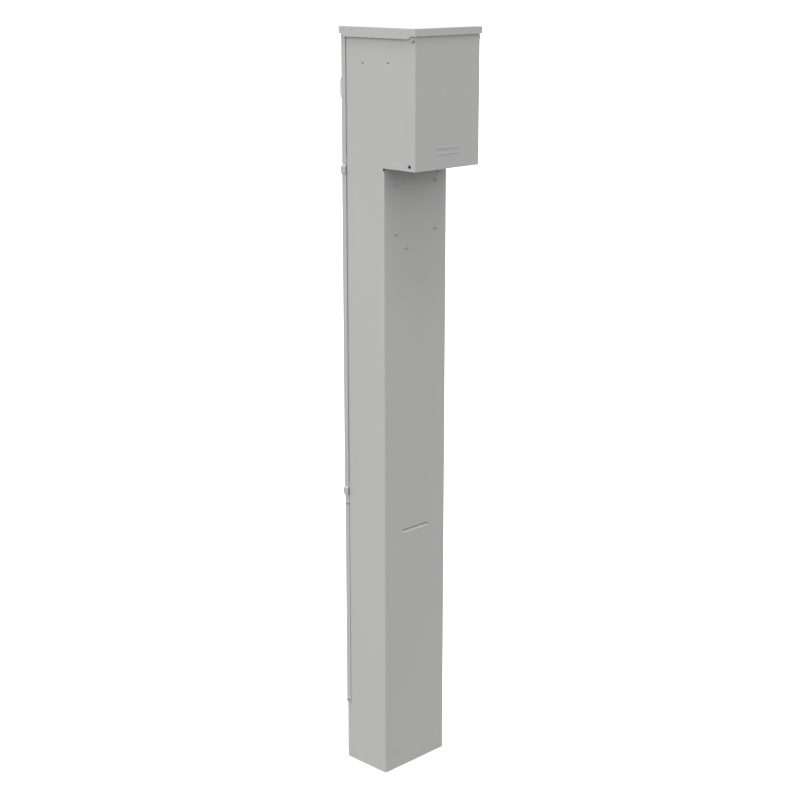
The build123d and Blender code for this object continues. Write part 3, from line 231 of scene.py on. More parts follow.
def turned(profile, centre, direction, around, hexness=None, recess=None):
    """Turn a profile of (radius, height) rows about an axis.

    A point is centre + r cos(t) a + r sin(t) b + h c, with t going once round.  Where hexness is
    1 the radius follows a hexagon, cos(30) / cos(t mod 60 - 30).  A recess (half width, reach,
    depth) lowers the rows of the crown inside a cross of two bars.
    """
    profile = np.asarray(profile, float)
    angle = np.linspace(0, 2 * np.pi, around, endpoint=False)
    radius = np.repeat(profile[:, :1], around, axis=1)
    height = np.repeat(profile[:, 1:2], around, axis=1)
    if hexness is not None:
        sixth = np.mod(angle, np.pi / 3) - np.pi / 6
        hexagon = math.cos(np.pi / 6) / np.cos(sixth)
        share = np.asarray(hexness, float)[:, None]
        radius = radius * (1 - share + share * hexagon[None, :])
    if recess is not None:
        half, reach, depth = recess
        x, y = radius * np.cos(angle), radius * np.sin(angle)
        crown = height > 0.3 * profile[:, 1].max()
        bars = np.maximum(soft_bar(x, y, half, reach), soft_bar(y, x, half, reach))
        height = height - depth * bars * crown
    a, b, c = axes_for(direction)
    round_it = np.cos(angle)[:, None] * a + np.sin(angle)[:, None] * b
    return np.asarray(centre, float) + radius[..., None] * round_it + height[..., None] * c


def soft_bar(across, along, half, reach):
    """1 inside a bar and 0 outside it, falling off over a quarter of its half width."""
    side = np.clip((half - np.abs(across)) / (0.25 * half) + 0.5, 0, 1)
    end = np.clip((reach - np.abs(along)) / (0.25 * half) + 0.5, 0, 1)
    return side * end


def rounded_loop(half_width, half_height, radius, corner=6):
    """Points of a rounded rectangle: four quarter arcs of a radius joined by straight sides."""
    angle = np.linspace(0, np.pi / 2, corner)
    quarter = np.stack([np.cos(angle), np.sin(angle)], axis=1) * radius
    centres = np.array([(1, 1), (-1, 1), (-1, -1), (1, -1)]) * (half_width - radius, half_height - radius)
    turns = [np.array([[1, 0], [0, 1]]), np.array([[0, 1], [-1, 0]]),
             np.array([[-1, 0], [0, -1]]), np.array([[0, -1], [1, 0]])]
    return np.concatenate([centre + quarter @ turn for centre, turn in zip(centres, turns)])


def lofted_slab(centre, axes, size, radius, edge, rings=5):
    """A cushion-edged slab: rounded rectangles stacked through its thickness.

    Ring k sits at depth d(s) = edge (1 - cos s) from a face and is drawn in by edge (1 - sin s),
    with s from 0 to 90 degrees, so both faces end in a quarter-round edge.
    """
    across, up, out = (np.asarray(axis, float) for axis in axes)
    half_w, half_h, half_t = (value / 2 for value in size)
    step = np.linspace(0, np.pi / 2, rings)
    inset = edge * (1 - np.sin(step))
    depth = half_t - edge + edge * np.cos(step)
    places, pulls = np.concatenate([-depth, depth[::-1]]), np.concatenate([inset, inset[::-1]])
    loops = []
    for place, pull in zip(places, pulls):
        loop = rounded_loop(half_w - pull, half_h - pull, max(radius - pull, 1e-5))
        loops.append(centre + loop[:, :1] * across + loop[:, 1:] * up + place * out)
    return np.stack(loops)


def node_points(node):
    """The vertices of a CAD node as an array."""
    vertices = frame["nodes"][node].data.vertices
    points = np.empty(len(vertices) * 3)
    vertices.foreach_get("co", points)
    return points.reshape(-1, 3)


def islands(node):
    """Points of each separate solid in a CAD node: labels spread along edges until they settle."""
    points = node_points(node)
    edges = frame["nodes"][node].data.edges
    pairs = np.empty(len(edges) * 2, np.int64)
    edges.foreach_get("vertices", pairs)
    joined = np.unique(points.round(6), axis=0, return_inverse=True)[1].ravel()
    pairs = joined[pairs].reshape(-1, 2)
    label = np.arange(joined.max() + 1)
    while True:
        low = label[pairs].min(axis=1)
        spread = label.copy()
        np.minimum.at(spread, pairs[:, 0], low)
        np.minimum.at(spread, pairs[:, 1], low)
        if np.array_equal(spread, label):
            break
        label = spread
    owner = label[joined]
    return [points[owner == one] for one in np.unique(owner)]


def weld(shape):
    """Join vertices that coincide in a CAD mesh."""
    bmesh.ops.remove_doubles(shape, verts=shape.verts, dist=WELD)


def merge_flats(shape):
    """Weld a CAD mesh and merge the triangles of each flat face."""
    weld(shape)
    bmesh.ops.dissolve_limit(
        shape, angle_limit=FLAT, use_dissolve_boundaries=False,
        verts=shape.verts, edges=shape.edges, delimit=set(),
    )


def rounded_piece(name, mesh, node, material, radius, segments):
    """Link a merged mesh as a smooth piece with a bevel; returns the piece and its bevel."""
    piece = finish_piece(name, mesh, node, material, smooth=None)
    mesh.polygons.foreach_set("use_smooth", np.ones(len(mesh.polygons), bool))
    bevel = piece.modifiers.new("Rounded edges", "BEVEL")
    bevel.width, bevel.segments = radius, segments
    normals = piece.modifiers.new("Flat faces", "WEIGHTED_NORMAL")
    normals.mode, normals.keep_sharp = "FACE_AREA", True
    return piece, bevel


def rounded_copy(node, material, radius, segments=3):
    """Copy a CAD node with its triangles welded, flat ones merged and sharp edges rounded."""
    mesh = frame["nodes"][node].data.copy()
    mesh.name = node + "_finish"
    shape = bmesh.new()
    shape.from_mesh(mesh)
    merge_flats(shape)
    shape.to_mesh(mesh)
    shape.free()
    piece, bevel = rounded_piece(node + "_finish", mesh, node, material, radius, segments)
    bevel.limit_method, bevel.angle_limit = "ANGLE", SHARP
    bevel.use_clamp_overlap = True
    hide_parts(node)


# ---- materials -------------------------------------------------------------------------


class Finish:
    """A node material with one Principled shader, and short calls that add nodes to it."""

    def __init__(self, name, base, **settings):
        self.material = bpy.data.materials.new(name)
        self.material.use_nodes = True
        self.tree = self.material.node_tree
        self.shader = self.tree.nodes["Principled BSDF"]
        self.shader.inputs["Base Color"].default_value = (*base, 1)
        for socket, value in settings.items():
            self.shader.inputs[socket.replace("_", " ")].default_value = value
        self.coords = self.tree.nodes.new("ShaderNodeTexCoord").outputs["Object"]

    def add(self, kind, inputs=None, **settings):
        """Add a node, set its attributes, and link or set its inputs."""
        node = self.tree.nodes.new(kind)
        for key, value in settings.items():
            setattr(node, key, value)
        for key, value in (inputs or {}).items():
            if isinstance(value, bpy.types.NodeSocket):
                self.tree.links.new(value, node.inputs[key])
            else:
                node.inputs[key].default_value = value
        return node

    def noise(self, size, detail=3.0, stretch=(1, 1, 1), roughness=0.5):
        """Noise whose largest features are about size metres across."""
        place = self.add("ShaderNodeMapping", {"Vector": self.coords, "Scale": stretch})
        return self.add("ShaderNodeTexNoise", {
            "Vector": place.outputs["Vector"], "Scale": 1 / size, "Detail": detail, "Roughness": roughness,
        }).outputs["Fac"]

    def ramp(self, factor, low, high, start=0.0, end=1.0):
        """A smooth change from low to high as the factor goes from start to end."""
        node = self.add("ShaderNodeMapRange", {
            "Value": factor, "From Min": start, "From Max": end, "To Min": low, "To Max": high,
        }, interpolation_type="SMOOTHSTEP")
        return node.outputs["Result"]

    def mix(self, factor, first, second):
        """Blend two colours, each a tuple or an output, by an output that goes from 0 to 1."""
        node = self.add("ShaderNodeMix", data_type="RGBA")
        for index, value in ((6, first), (7, second)):
            if isinstance(value, bpy.types.NodeSocket):
                self.tree.links.new(value, node.inputs[index])
            else:
                node.inputs[index].default_value = (*value, 1)
        self.tree.links.new(factor, node.inputs[0])
        return node.outputs[2]

    def tint(self, socket_value, name="Base Color"):
        """Link an output to one of the shader's inputs."""
        self.tree.links.new(socket_value, self.shader.inputs[name])

    def bump(self, height, distance, strength=1.0, under=None):
        """Raise the surface by up to distance metres where the height is 1."""
        inputs = {"Height": height, "Distance": distance, "Strength": strength}
        if under is not None:
            inputs["Normal"] = under
        node = self.add("ShaderNodeBump", inputs)
        self.tint(node.outputs["Normal"], "Normal")
        return node.outputs["Normal"]

    def height_above(self, low, high):
        """0 below one height and 1 above another, from the object's own Z."""
        split = self.add("ShaderNodeSeparateXYZ", {"Vector": self.coords})
        return self.ramp(split.outputs["Z"], 0.0, 1.0, low, high)


def shade(base, factor):
    """A colour made lighter or darker."""
    return tuple(min(1.0, channel * factor) for channel in base)


def powder_coat(look):
    """Outer paint: fine orange peel, slow drift of tone, faint dust and splash marks at the foot."""
    paint = Finish("powder_coat", look.paint, Roughness=look.paint_roughness, Metallic=0.0,
                   Specular_IOR_Level=0.35)
    drift = paint.noise(0.22, detail=2.0, stretch=(1, 1, 0.35))
    fleck = paint.noise(0.0016, detail=1.0)
    drifting = paint.ramp(drift, 0.0, 1.0, 0.3, 0.7)
    tone = paint.mix(drifting, shade(look.paint, 0.985), shade(look.paint, 1.015))
    tone = paint.mix(paint.ramp(fleck, 0.0, 0.10, 0.55, 0.8), tone, shade(look.paint, 1.25))
    splash = paint.ramp(paint.noise(0.035, detail=6.0, roughness=0.7), 0.0, 0.16, 0.45, 0.75)
    low = paint.height_above(0.16, 0.0)
    dirt = paint.add("ShaderNodeMath", {0: splash, 1: low}, operation="MULTIPLY")
    paint.tint(paint.mix(dirt.outputs[0], tone, look.dirt))
    rough = paint.ramp(drift, look.paint_roughness - 0.03, look.paint_roughness + 0.04, 0.25, 0.75)
    paint.tint(rough, "Roughness")
    peel = paint.noise(look.paint_grain, detail=2.0)
    waves = paint.noise(look.paint_grain * 7, detail=1.0)
    under = paint.bump(waves, 0.00003, 0.5)
    paint.bump(peel, 0.00004, 0.6, under)
    return paint.material


def inner_enamel(look):
    """Smooth pale enamel of the sheets inside the head, with faint rolling waves."""
    enamel = Finish("inner_enamel", look.enamel, Roughness=0.38, Specular_IOR_Level=0.45)
    drift = enamel.noise(0.09, detail=3.0)
    enamel.tint(enamel.mix(drift, shade(look.enamel, 0.97), shade(look.enamel, 1.03)))
    enamel.tint(enamel.ramp(drift, 0.34, 0.44), "Roughness")
    enamel.bump(enamel.noise(0.004, detail=2.0), 0.00004, 0.4)
    return enamel.material


def plated_zinc(look):
    """Zinc plate: faint spangle, a trace of green passivation and dull patches."""
    zinc = Finish("plated_zinc", look.zinc, Roughness=0.45, Metallic=0.6)
    cells = zinc.add("ShaderNodeTexVoronoi", {"Vector": zinc.coords, "Scale": 900.0})
    patch = zinc.noise(0.003, detail=3.0)
    spangle = zinc.ramp(cells.outputs["Distance"], 0.0, 0.5, 0.0, 0.6)
    tone = zinc.mix(spangle, look.zinc, shade(look.zinc, 1.2))
    zinc.tint(zinc.mix(zinc.ramp(patch, 0.0, 0.6, 0.45, 0.75), tone, shade(look.zinc, 0.72)))
    zinc.tint(zinc.ramp(patch, 0.36, 0.56), "Roughness")
    zinc.bump(zinc.noise(0.0006, detail=2.0), 0.00002, 0.5)
    return zinc.material


def moulded(name, base, roughness, grain=0.0007, depth=0.00003):
    """Moulded plastic: a fine spark-eroded grain with a little drift in tone and gloss."""
    plastic = Finish(name, base, Roughness=roughness, Specular_IOR_Level=0.45)
    drift = plastic.noise(0.03, detail=3.0)
    plastic.tint(plastic.mix(drift, shade(base, 0.88), shade(base, 1.14)))
    plastic.tint(plastic.ramp(drift, roughness - 0.06, roughness + 0.08), "Roughness")
    plastic.bump(plastic.noise(grain, detail=2.0), depth, 0.6)
    return plastic.material


def soft_rubber(look):
    """Black rubber: matt, with a chalky bloom in patches."""
    rubber = Finish("soft_rubber", look.rubber, Roughness=0.78, Specular_IOR_Level=0.3)
    bloom = rubber.noise(0.012, detail=5.0)
    rubber.tint(rubber.mix(rubber.ramp(bloom, 0.0, 0.4, 0.45, 0.8), look.rubber, (0.06, 0.06, 0.062)))
    rubber.bump(rubber.noise(0.0005, detail=2.0), 0.00004, 0.6)
    return rubber.material


def clear_glass(look):
    """Pressed clear glass with a faint tint and the slightest waviness."""
    glass = Finish("meter_glass", look.glass, Roughness=0.02, IOR=1.5, Transmission_Weight=1.0)
    tone = glass.noise(0.05, detail=1.0)
    glass.tint(glass.mix(tone, look.glass, shade(look.glass, 0.97)))
    glass.bump(glass.noise(0.02, detail=1.0), 0.00005, 0.3)
    # long paths through the wall, at the limb, come out darker and bluer than the front
    depth = {"Color": (*look.glass_depth, 1), "Density": look.glass_density}
    body = glass.add("ShaderNodeVolumeAbsorption", depth)
    output = glass.tree.nodes["Material Output"]
    glass.tree.links.new(body.outputs["Volume"], output.inputs["Volume"])
    return glass.material


def brushed(name, base, stretch, roughness=0.32):
    """Rolled or extruded metal with fine streaks along one direction and dull stains."""
    metal = Finish(name, base, Roughness=roughness, Metallic=1.0)
    streak = metal.noise(0.0012, detail=3.0, stretch=stretch)
    stain = metal.noise(0.02, detail=4.0)
    tone = metal.mix(streak, shade(base, 0.85), shade(base, 1.1))
    metal.tint(metal.mix(metal.ramp(stain, 0.0, 0.5, 0.5, 0.8), tone, shade(base, 0.6)))
    metal.tint(metal.ramp(streak, roughness - 0.08, roughness + 0.12), "Roughness")
    metal.bump(streak, 0.00001, 0.5)
    return metal.material


def badge_paint(look):
    """Satin badge: a fine brushed look under a clear coat."""
    badge = Finish("badge_satin", look.badge, Roughness=0.46, Metallic=0.1)
    streak = badge.noise(0.002, detail=2.0, stretch=(0.06, 1, 1))
    badge.tint(badge.mix(streak, shade(look.badge, 0.94), shade(look.badge, 1.06)))
    badge.bump(streak, 0.00001, 0.4)
    return badge.material


def liquid_crystal():
    """Grey-green display behind its window, with painted shade: a faint vertical gradient, darker at the
    bottom and lighter at the top.
    """
    low, high = (np.array(corner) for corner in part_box("meter_display"))
    panel = Finish("liquid_crystal", (0.30, 0.34, 0.27), Roughness=0.18)
    # painted shade: the display's colour runs from darker at its bottom to lighter at its top, as if lit
    # from above
    panel.tint(panel.mix(panel.height_above(low[2], high[2]), (0.27, 0.31, 0.24), (0.36, 0.40, 0.32)))
    panel.bump(panel.noise(0.01, detail=1.0), 0.00001, 0.2)
    return panel.material


MATERIALS = {}


def materials():
    """Build every material once, and return them by name."""
    if not MATERIALS:
        look = bpy.context.scene.post_finish
        MATERIALS.update(
            paint=powder_coat(look), enamel=inner_enamel(look), zinc=plated_zinc(look),
            moulding=moulded("black_moulding", look.moulding, 0.46),
            lever=moulded("black_lever", shade(look.moulding, 0.8), 0.24, 0.002, 0.00001),
            outlet=moulded("grey_moulding", look.outlet, 0.34),
            module=moulded("meter_moulding", look.module, 0.5),
            nylon=moulded("nylon", look.nylon, 0.42),
            test=moulded("test_button", look.ink, 0.35),
            reset=moulded("reset_button", look.reset, 0.35),
            ink=moulded("dial_ink", look.ink, 0.55),
            dial=moulded("dial_plate", look.dial, 0.5, 0.0015, 0.00001),
            rubber=soft_rubber(look), glass=clear_glass(look), display=liquid_crystal(),
            copper=brushed("bus_copper", look.copper, (1, 1, 0.05)),
            aluminium=brushed("extruded_aluminium", look.aluminium, (1, 1, 0.05), 0.36),
            badge=badge_paint(look),
        )
    return MATERIALS


# ---- sheet metal and badge -------------------------------------------------------------


def joined_fold(nodes, name, material, radius, fold_radius, is_fold):
    """Unite touching sheets into one folded sheet, with wide rounding on the folds alone.

    A sharp edge is bevelled by radius, or by fold_radius where is_fold, a test on the edge's
    two ends, says that it lies along a fold.
    """
    parts = []
    for node in nodes:
        mesh = frame["nodes"][node].data.copy()
        shape = bmesh.new()
        shape.from_mesh(mesh)
        weld(shape)
        shape.to_mesh(mesh)
        shape.free()
        part = bpy.data.objects.new(node + "_part", mesh)
        bpy.context.scene.collection.objects.link(part)
        parts.append(part)
    for other in parts[1:]:
        union = parts[0].modifiers.new("Union", "BOOLEAN")
        union.operation, union.solver, union.object = "UNION", "EXACT", other
    bpy.context.view_layer.update()
    whole = parts[0].evaluated_get(bpy.context.evaluated_depsgraph_get())
    mesh = bpy.data.meshes.new_from_object(whole)
    mesh.name = name
    for part in parts:
        bpy.data.objects.remove(part)
    shape = bmesh.new()
    shape.from_mesh(mesh)
    merge_flats(shape)
    weight = shape.edges.layers.float.new("bevel_weight_edge")
    for edge in shape.edges:
        if edge.is_manifold and edge.calc_face_angle() > SHARP:
            on_fold = is_fold(*(vertex.co for vertex in edge.verts))
            edge[weight] = 1.0 if on_fold else radius / fold_radius
    shape.to_mesh(mesh)
    shape.free()
    piece, bevel = rounded_piece(name, mesh, nodes[0], material, fold_radius, 4)
    bevel.limit_method = "WEIGHT"
    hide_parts(*nodes)


class BuildSheets(Operator):
    """The post's folded shell, the head's covers and every other painted sheet."""

    bl_idname = "charging_post.build_sheets"
    bl_label = "Build sheet metal"

    def execute(self, context):
        use, size = materials(), context.scene.post_sizes
        front_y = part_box("front_panel")[0][1]
        fold_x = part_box("right_side_panel")[1][0]

        def is_fold(first, second):
            """Whether an edge is a long upright one at a front corner of the shell."""
            upright = abs(first.x - second.x) < MM and abs(first.z - second.z) > 1.0
            return upright and abs(abs(first.x) - fold_x) < MM / 10 and first.y < front_y + 4 * MM

        shell = ["front_panel", "left_side_panel", "right_side_panel"]
        joined_fold(shell, "post_shell", use["paint"], size.sheet_round, size.fold_round, is_fold)
        for node in ("top_cap", "flip_cover", "upper_cover", "middle_cover", "lower_cover", "base_frame",
                     "head_floor", "cover_stiffener", "cap_rails"):
            rounded_copy(node, use["paint"], size.sheet_round)
        for node in ("dead_front", "dead_front_rails", "interior_pan", "lug_bracket"):
            rounded_copy(node, use["enamel"], size.sheet_round)
        return {"FINISHED"}


class BuildBadge(Operator):
    """The blank badge: a cushion-edged plate with a narrow raised border round a sunk panel."""

    bl_idname = "charging_post.build_badge"
    bl_label = "Build badge"

    def execute(self, context):
        low, high = (np.array(corner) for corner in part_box("blank_badge"))
        size = context.scene.post_sizes
        axes = ((1, 0, 0), (0, 0, 1), (0, -1, 0))
        width, thick, tall = high - low
        border, edge, corner = size.badge_bevel, 0.3 * thick, size.badge_corner
        centre = (low + high) / 2
        plate = lofted_slab(centre, axes, (width, tall, thick), corner, edge)
        # inside the border the front face steps down by a fifth of its thickness
        steps = []
        for pull, drop in ((0.6 * border, 0.0), (border, 0.06 * thick), (1.4 * border, 0.2 * thick)):
            loop = rounded_loop(width / 2 - edge - pull, tall / 2 - edge - pull, corner - edge - pull)
            steps.append(np.stack([centre[0] + loop[:, 0], np.full(len(loop), plate[-1, 0, 1] + drop),
                                   centre[2] + loop[:, 1]], axis=1))
        grid = np.concatenate([plate, np.stack(steps)])
        mesh = surface("badge_plate", [grid], caps=True)
        piece = finish_piece("badge_plate", mesh, "blank_badge", materials()["badge"])
        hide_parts("blank_badge")
        return {"FINISHED"}


# ---- fasteners -------------------------------------------------------------------------


def shank_rows(radius, shank):
    """Profile of a shank with a rounded end, up to the underside of its head."""
    return [(0.0, -shank), (0.7 * radius, -shank), (radius, -shank + 0.35 * radius), (radius, -0.02 * MM)]


def dome_rows(radius, low, high, count, inner=0.0):
    """A quarter ellipse from (radius, low) to (inner, high)."""
    angle = np.linspace(0, np.pi / 2, count)
    return list(zip(inner + (radius - inner) * np.cos(angle), low + (high - low) * np.sin(angle)))


def pan_head(radius, height, shank_r, shank):
    """Profile of a domed head: a short upright edge, then a quarter ellipse to the middle."""
    rows = shank_rows(shank_r, shank)
    rows += [(0.96 * radius, 0.0), (radius, 0.1 * height), (radius, 0.3 * height)]
    recess = (0.1 * radius, 0.52 * radius, 0.5 * height)
    return rows + dome_rows(radius, 0.34 * height, height, 26), None, recess


def hex_head(radius, height, shank_r, shank):
    """Profile of a washer-faced hexagon head with a shallow dish in its top."""
    round_rows = shank_rows(shank_r, shank)
    round_rows += [(0.96 * radius, 0.0), (radius, 0.07 * height)]
    round_rows += [(radius, 0.22 * height), (0.96 * radius, 0.28 * height)]
    hexagon = [(0.84 * radius, 0.3 * height), (0.84 * radius, 0.86 * height), (0.80 * radius, 0.96 * height)]
    top = [(0.66 * radius, height), (0.5 * radius, height)]
    top += [(0.46 * radius, 0.9 * height), (0.0, 0.88 * height)]
    hexness = [0] * len(round_rows) + [1, 1, 0.8] + [0] * len(top)
    return round_rows + hexagon + top, hexness, None


def rivet_head(radius, height, shank_r, shank):
    """Profile of a pulled rivet: a low dome with the mandrel's hole in its middle."""
    rows = shank_rows(shank_r, shank) + [(0.97 * radius, 0.0), (radius, 0.15 * height)]
    rows += dome_rows(radius, 0.2 * height, height, 10, inner=0.36 * radius)
    rows += [(0.33 * radius, 0.9 * height), (0.32 * radius, 0.35 * height), (0.0, 0.3 * height)]
    return rows, None, None


# head profile, material and head height of each node; None is a height of 0.3 of the radius
FASTENERS = {
    "head_bolts": (hex_head, "zinc", 3.2 * MM),
    "bracket_screws": (pan_head, "zinc", 3.0 * MM),
    "cover_screws": (pan_head, "zinc", 2.6 * MM),
    "pivot_screws": (hex_head, "zinc", 5.5 * MM),
    "dead_front_screws": (pan_head, "zinc", 2.2 * MM),
    "outlet_screws": (pan_head, "zinc", None),
    "cap_rivets": (rivet_head, "paint", 0.6 * MM),
    "stiffener_rivets": (rivet_head, "paint", 0.5 * MM),
}


def screw_grids(node, make_profile, head_height, around):
    """Grids for every screw of a node, each in the place and direction of its CAD solid.

    The axis is the one that the solid's slices are round about; the head is at the end whose
    slice is widest.
    """
    grids = []
    for points in islands(node):
        low, high = points.min(axis=0), points.max(axis=0)
        span = high - low
        axis = int(np.argmin(np.abs(np.roll(span, 1) - np.roll(span, 2))))
        ends = [points[np.abs(points[:, axis] - end[axis]) < WELD] for end in (low, high)]
        middle = (low + high) / 2
        width = [np.abs(end - middle)[:, (axis + 1) % 3].max() for end in ends]
        sign = 1 if width[1] > width[0] else -1
        direction = np.zeros(3)
        direction[axis] = sign
        radius = span[(axis + 1) % 3] / 2
        height = head_height or 0.3 * radius
        centre = middle.copy()
        centre[axis] = (high if sign > 0 else low)[axis] - sign * height
        profile, hexness, recess = make_profile(radius, height, min(width), span[axis] - height)
        grids.append(turned(profile, centre, direction, around, hexness, recess))
    return grids


class BuildFasteners(Operator):
    """Bolts, screws and rivets with their real heads, and the nuts, studs and washers."""

    bl_idname = "charging_post.build_fasteners"
    bl_label = "Build fasteners"

    def execute(self, context):
        use, around = materials(), context.scene.post_sizes.around
        for node, (make_profile, finish, head_height) in FASTENERS.items():
            grids = screw_grids(node, make_profile, head_height, around)
            mesh = surface(node + "_finish", grids)
            piece = finish_piece(node + "_finish", mesh, node, use[finish], smooth=40)
            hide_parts(node)
        for node in ("head_nuts", "pivot_nuts", "ground_screws", "lug_screws", "load_studs"):
            rounded_copy(node, use["zinc"], 0.25 * MM, 2)
        rounded_copy("pivot_washers", use["nylon"], 0.15 * MM, 2)
        return {"FINISHED"}


# ---- meter -----------------------------------------------------------------------------


def blocks_mesh(name, centres, halves, axes):
    """Closed boxes at many centres: each corner is centre +- half sizes along the three axes."""
    centres, halves = np.asarray(centres, float), np.asarray(halves, float)
    axes = np.asarray(axes, float)
    signs = np.array([(x, y, z) for x in (-1, 1) for y in (-1, 1) for z in (-1, 1)], float)
    axes = np.broadcast_to(axes, (len(centres), 3, 3))
    corners = centres[:, None] + np.einsum("ck,nk,nkd->ncd", signs, halves, axes)
    quads = np.array([(0, 1, 3, 2), (4, 6, 7, 5), (0, 4, 5, 1), (2, 3, 7, 6), (0, 2, 6, 4), (1, 5, 7, 3)])
    faces = quads[None] + 8 * np.arange(len(centres))[:, None, None]
    mesh = bpy.data.meshes.new(name)
    mesh.from_pydata(corners.reshape(-1, 3).tolist(), [], faces.reshape(-1, 4).tolist())
    shape = bmesh.new()
    shape.from_mesh(mesh)
    bmesh.ops.recalc_face_normals(shape, faces=shape.faces)
    shape.to_mesh(mesh)
    shape.free()
    return mesh


def glass_profile(depth, base_r, front_r, corner, wall):
    """Closed section of the glass: foot bead, tapering wall, rounded front, and the inside back."""
    angle = np.linspace(0, np.pi / 2, 12)
    bend = [(front_r - corner + corner * math.cos(a), depth - corner + corner * math.sin(a)) for a in angle]
    bead_flat, bead_top, bead_out = 2.2 * MM, 3.4 * MM, 0.8 * MM
    sunk = depth - 0.25 * MM
    foot = [(base_r - wall, 0.0), (base_r, 0.0), (base_r, bead_flat), (base_r - bead_out, bead_top)]
    side = [(base_r - 1.6 * MM, 0.30 * depth), (base_r - 2.4 * MM, 0.48 * depth)]
    front = [(0.62 * front_r, depth), (0.60 * front_r, sunk), (0.3 * front_r, sunk), (0.0, sunk)]
    inside = [(0.0, depth - wall)]
    for radius, height in reversed(bend):
        drop = wall if radius < front_r - corner else 0.6 * wall
        inside.append((radius - (wall - 0.4 * MM), height - drop))
    inside += [(radius - wall, height) for radius, height in reversed(side)]
    return foot + side + bend + front + inside + [(base_r - wall - bead_out, bead_top)]


# the number on the display, and the bars that each of its digits lights
READING = "00417"
SEGMENTS = {"0": "abcdef", "1": "bc", "4": "bcfg", "7": "abc"}


def digit_boxes(text, centre, tall, stroke):
    """Centres and half sizes of the bars of seven-bar digits, seen from behind the post."""
    half, wide, step = tall / 2, tall * 0.26, tall * 0.86
    places = {
        "a": (0, half, wide, 0), "g": (0, 0, wide, 0), "d": (0, -half, wide, 0),
        "b": (wide, half / 2, 0, half / 2), "c": (wide, -half / 2, 0, half / 2),
        "f": (-wide, half / 2, 0, half / 2), "e": (-wide, -half / 2, 0, half / 2),
    }
    centres, halves = [], []
    for index, digit in enumerate(text):
        start = (index - (len(text) - 1) / 2) * step
        for bar in SEGMENTS[digit]:
            across, up, reach_x, reach_z = places[bar]
            centres.append((centre[0] - start - across, centre[1], centre[2] + up))
            half_x, half_z = (max(reach - 0.7 * stroke, stroke / 2) for reach in (reach_x, reach_z))
            halves.append((half_x, INK, half_z))
    return centres, halves


class BuildMeter(Operator):
    """The meter: glass with a foot bead, dial with its marks, display with its digits, base and seal."""

    bl_idname = "charging_post.build_meter"
    bl_label = "Build meter"

    def execute(self, context):
        use, size = materials(), context.scene.post_sizes
        low, high = (np.array(corner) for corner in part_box("meter_glass"))
        middle = (low + high) / 2
        base_r = (high[0] - low[0]) / 2
        profile = glass_profile(
            high[1] - low[1], base_r, base_r - size.glass_taper, size.glass_round, size.glass_wall,
        )
        grid = turned(profile + profile[:1], (middle[0], low[1], middle[2]), (0, 1, 0), 2 * size.around)
        dome = surface("glass_dome", [grid])
        piece = finish_piece("glass_dome", dome, "meter_glass", use["glass"], smooth=50)
        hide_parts("meter_glass")

        dial_low, dial_high = (np.array(corner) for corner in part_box("meter_dial"))
        dial_r = (dial_high[0] - dial_low[0]) / 2
        rounded_copy("meter_dial", use["dial"], 0.2 * MM, 2)
        angle = np.radians(np.arange(0, 360, 6))
        long_tick = np.arange(len(angle)) % 5 == 0
        reach = np.where(long_tick, size.tick_long, 0.55 * size.tick_long)
        rim = dial_r - 3 * MM
        out = np.stack([np.cos(angle), np.zeros_like(angle), np.sin(angle)], axis=1)
        side = np.stack([-np.sin(angle), np.zeros_like(angle), np.cos(angle)], axis=1)
        face = np.array([middle[0], dial_high[1] + INK_LIFT, middle[2]])
        centres = face + out * (rim - reach / 2)[:, None]
        half_wide = np.where(long_tick, 0.5, 0.28) * MM
        halves = np.stack([reach / 2, np.full_like(reach, INK), half_wide], axis=1)
        axes = np.stack([out, np.broadcast_to((0.0, 1.0, 0.0), out.shape), side], axis=1)
        ticks = blocks_mesh("dial_ticks", centres, halves, axes)
        finish_piece("dial_ticks", ticks, "meter_dial", use["ink"], smooth=None)

        rounded_copy("meter_display", use["display"], 0.3 * MM, 2)
        pane_low, pane_high = (np.array(corner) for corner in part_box("meter_display"))
        pane = (pane_low + pane_high) / 2
        pane[1] = pane_high[1] + INK_LIFT
        centres, halves = digit_boxes(READING, pane, size.digit_tall, size.digit_stroke)
        digits = blocks_mesh("display_digits", centres, halves, np.eye(3))
        finish_piece("display_digits", digits, "meter_display", use["ink"], smooth=None)
        for node, finish, radius in (
            ("meter_module", "module", size.moulding_round), ("meter_base", "moulding", size.moulding_round),
            ("meter_gasket", "rubber", 0.4 * MM), ("meter_blades", "copper", 0.3 * MM),
            ("meter_blocks", "moulding", size.moulding_round), ("meter_jaws", "aluminium", 0.25 * MM),
        ):
            rounded_copy(node, use[finish], radius)
        return {"FINISHED"}


# ---- sockets, breakers and the inside --------------------------------------------------


class BuildSockets(Operator):
    """The heavy outlet, the twin service outlet and its two push buttons."""

    bl_idname = "charging_post.build_sockets"
    bl_label = "Build sockets"

    def execute(self, context):
        use, size = materials(), context.scene.post_sizes
        rounded_copy("vehicle_outlet", use["moulding"], 0.6 * MM)
        rounded_copy("service_outlet", use["outlet"], 0.5 * MM)
        for node in ("vehicle_contacts", "service_contacts"):
            rounded_copy(node, use["copper"], 0.2 * MM, 2)
        rounded_copy("test_button", use["test"], 0.35 * MM)
        rounded_copy("reset_button", use["reset"], 0.35 * MM)
        low, high = (np.array(corner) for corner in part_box("vehicle_outlet"))
        middle = (low + high) / 2
        # section of the raised ring: millimetres in from the face's edge, and out from the face
        section = [(5.0, 0.05), (4.8, 0.55), (4.2, 0.8), (3.2, 0.8), (2.6, 0.55), (2.4, 0.05)]
        section += [(3.0, -0.3), (4.4, -0.3)]
        profile = [(size.outlet_face - inset * MM, out * MM) for inset, out in section]
        grid = turned(profile + profile[:1], (middle[0], low[1], middle[2]), (0, -1, 0), size.around)
        ring = surface("outlet_face_ring", [grid])
        finish_piece("outlet_face_ring", ring, "vehicle_outlet", use["moulding"])
        return {"FINISHED"}


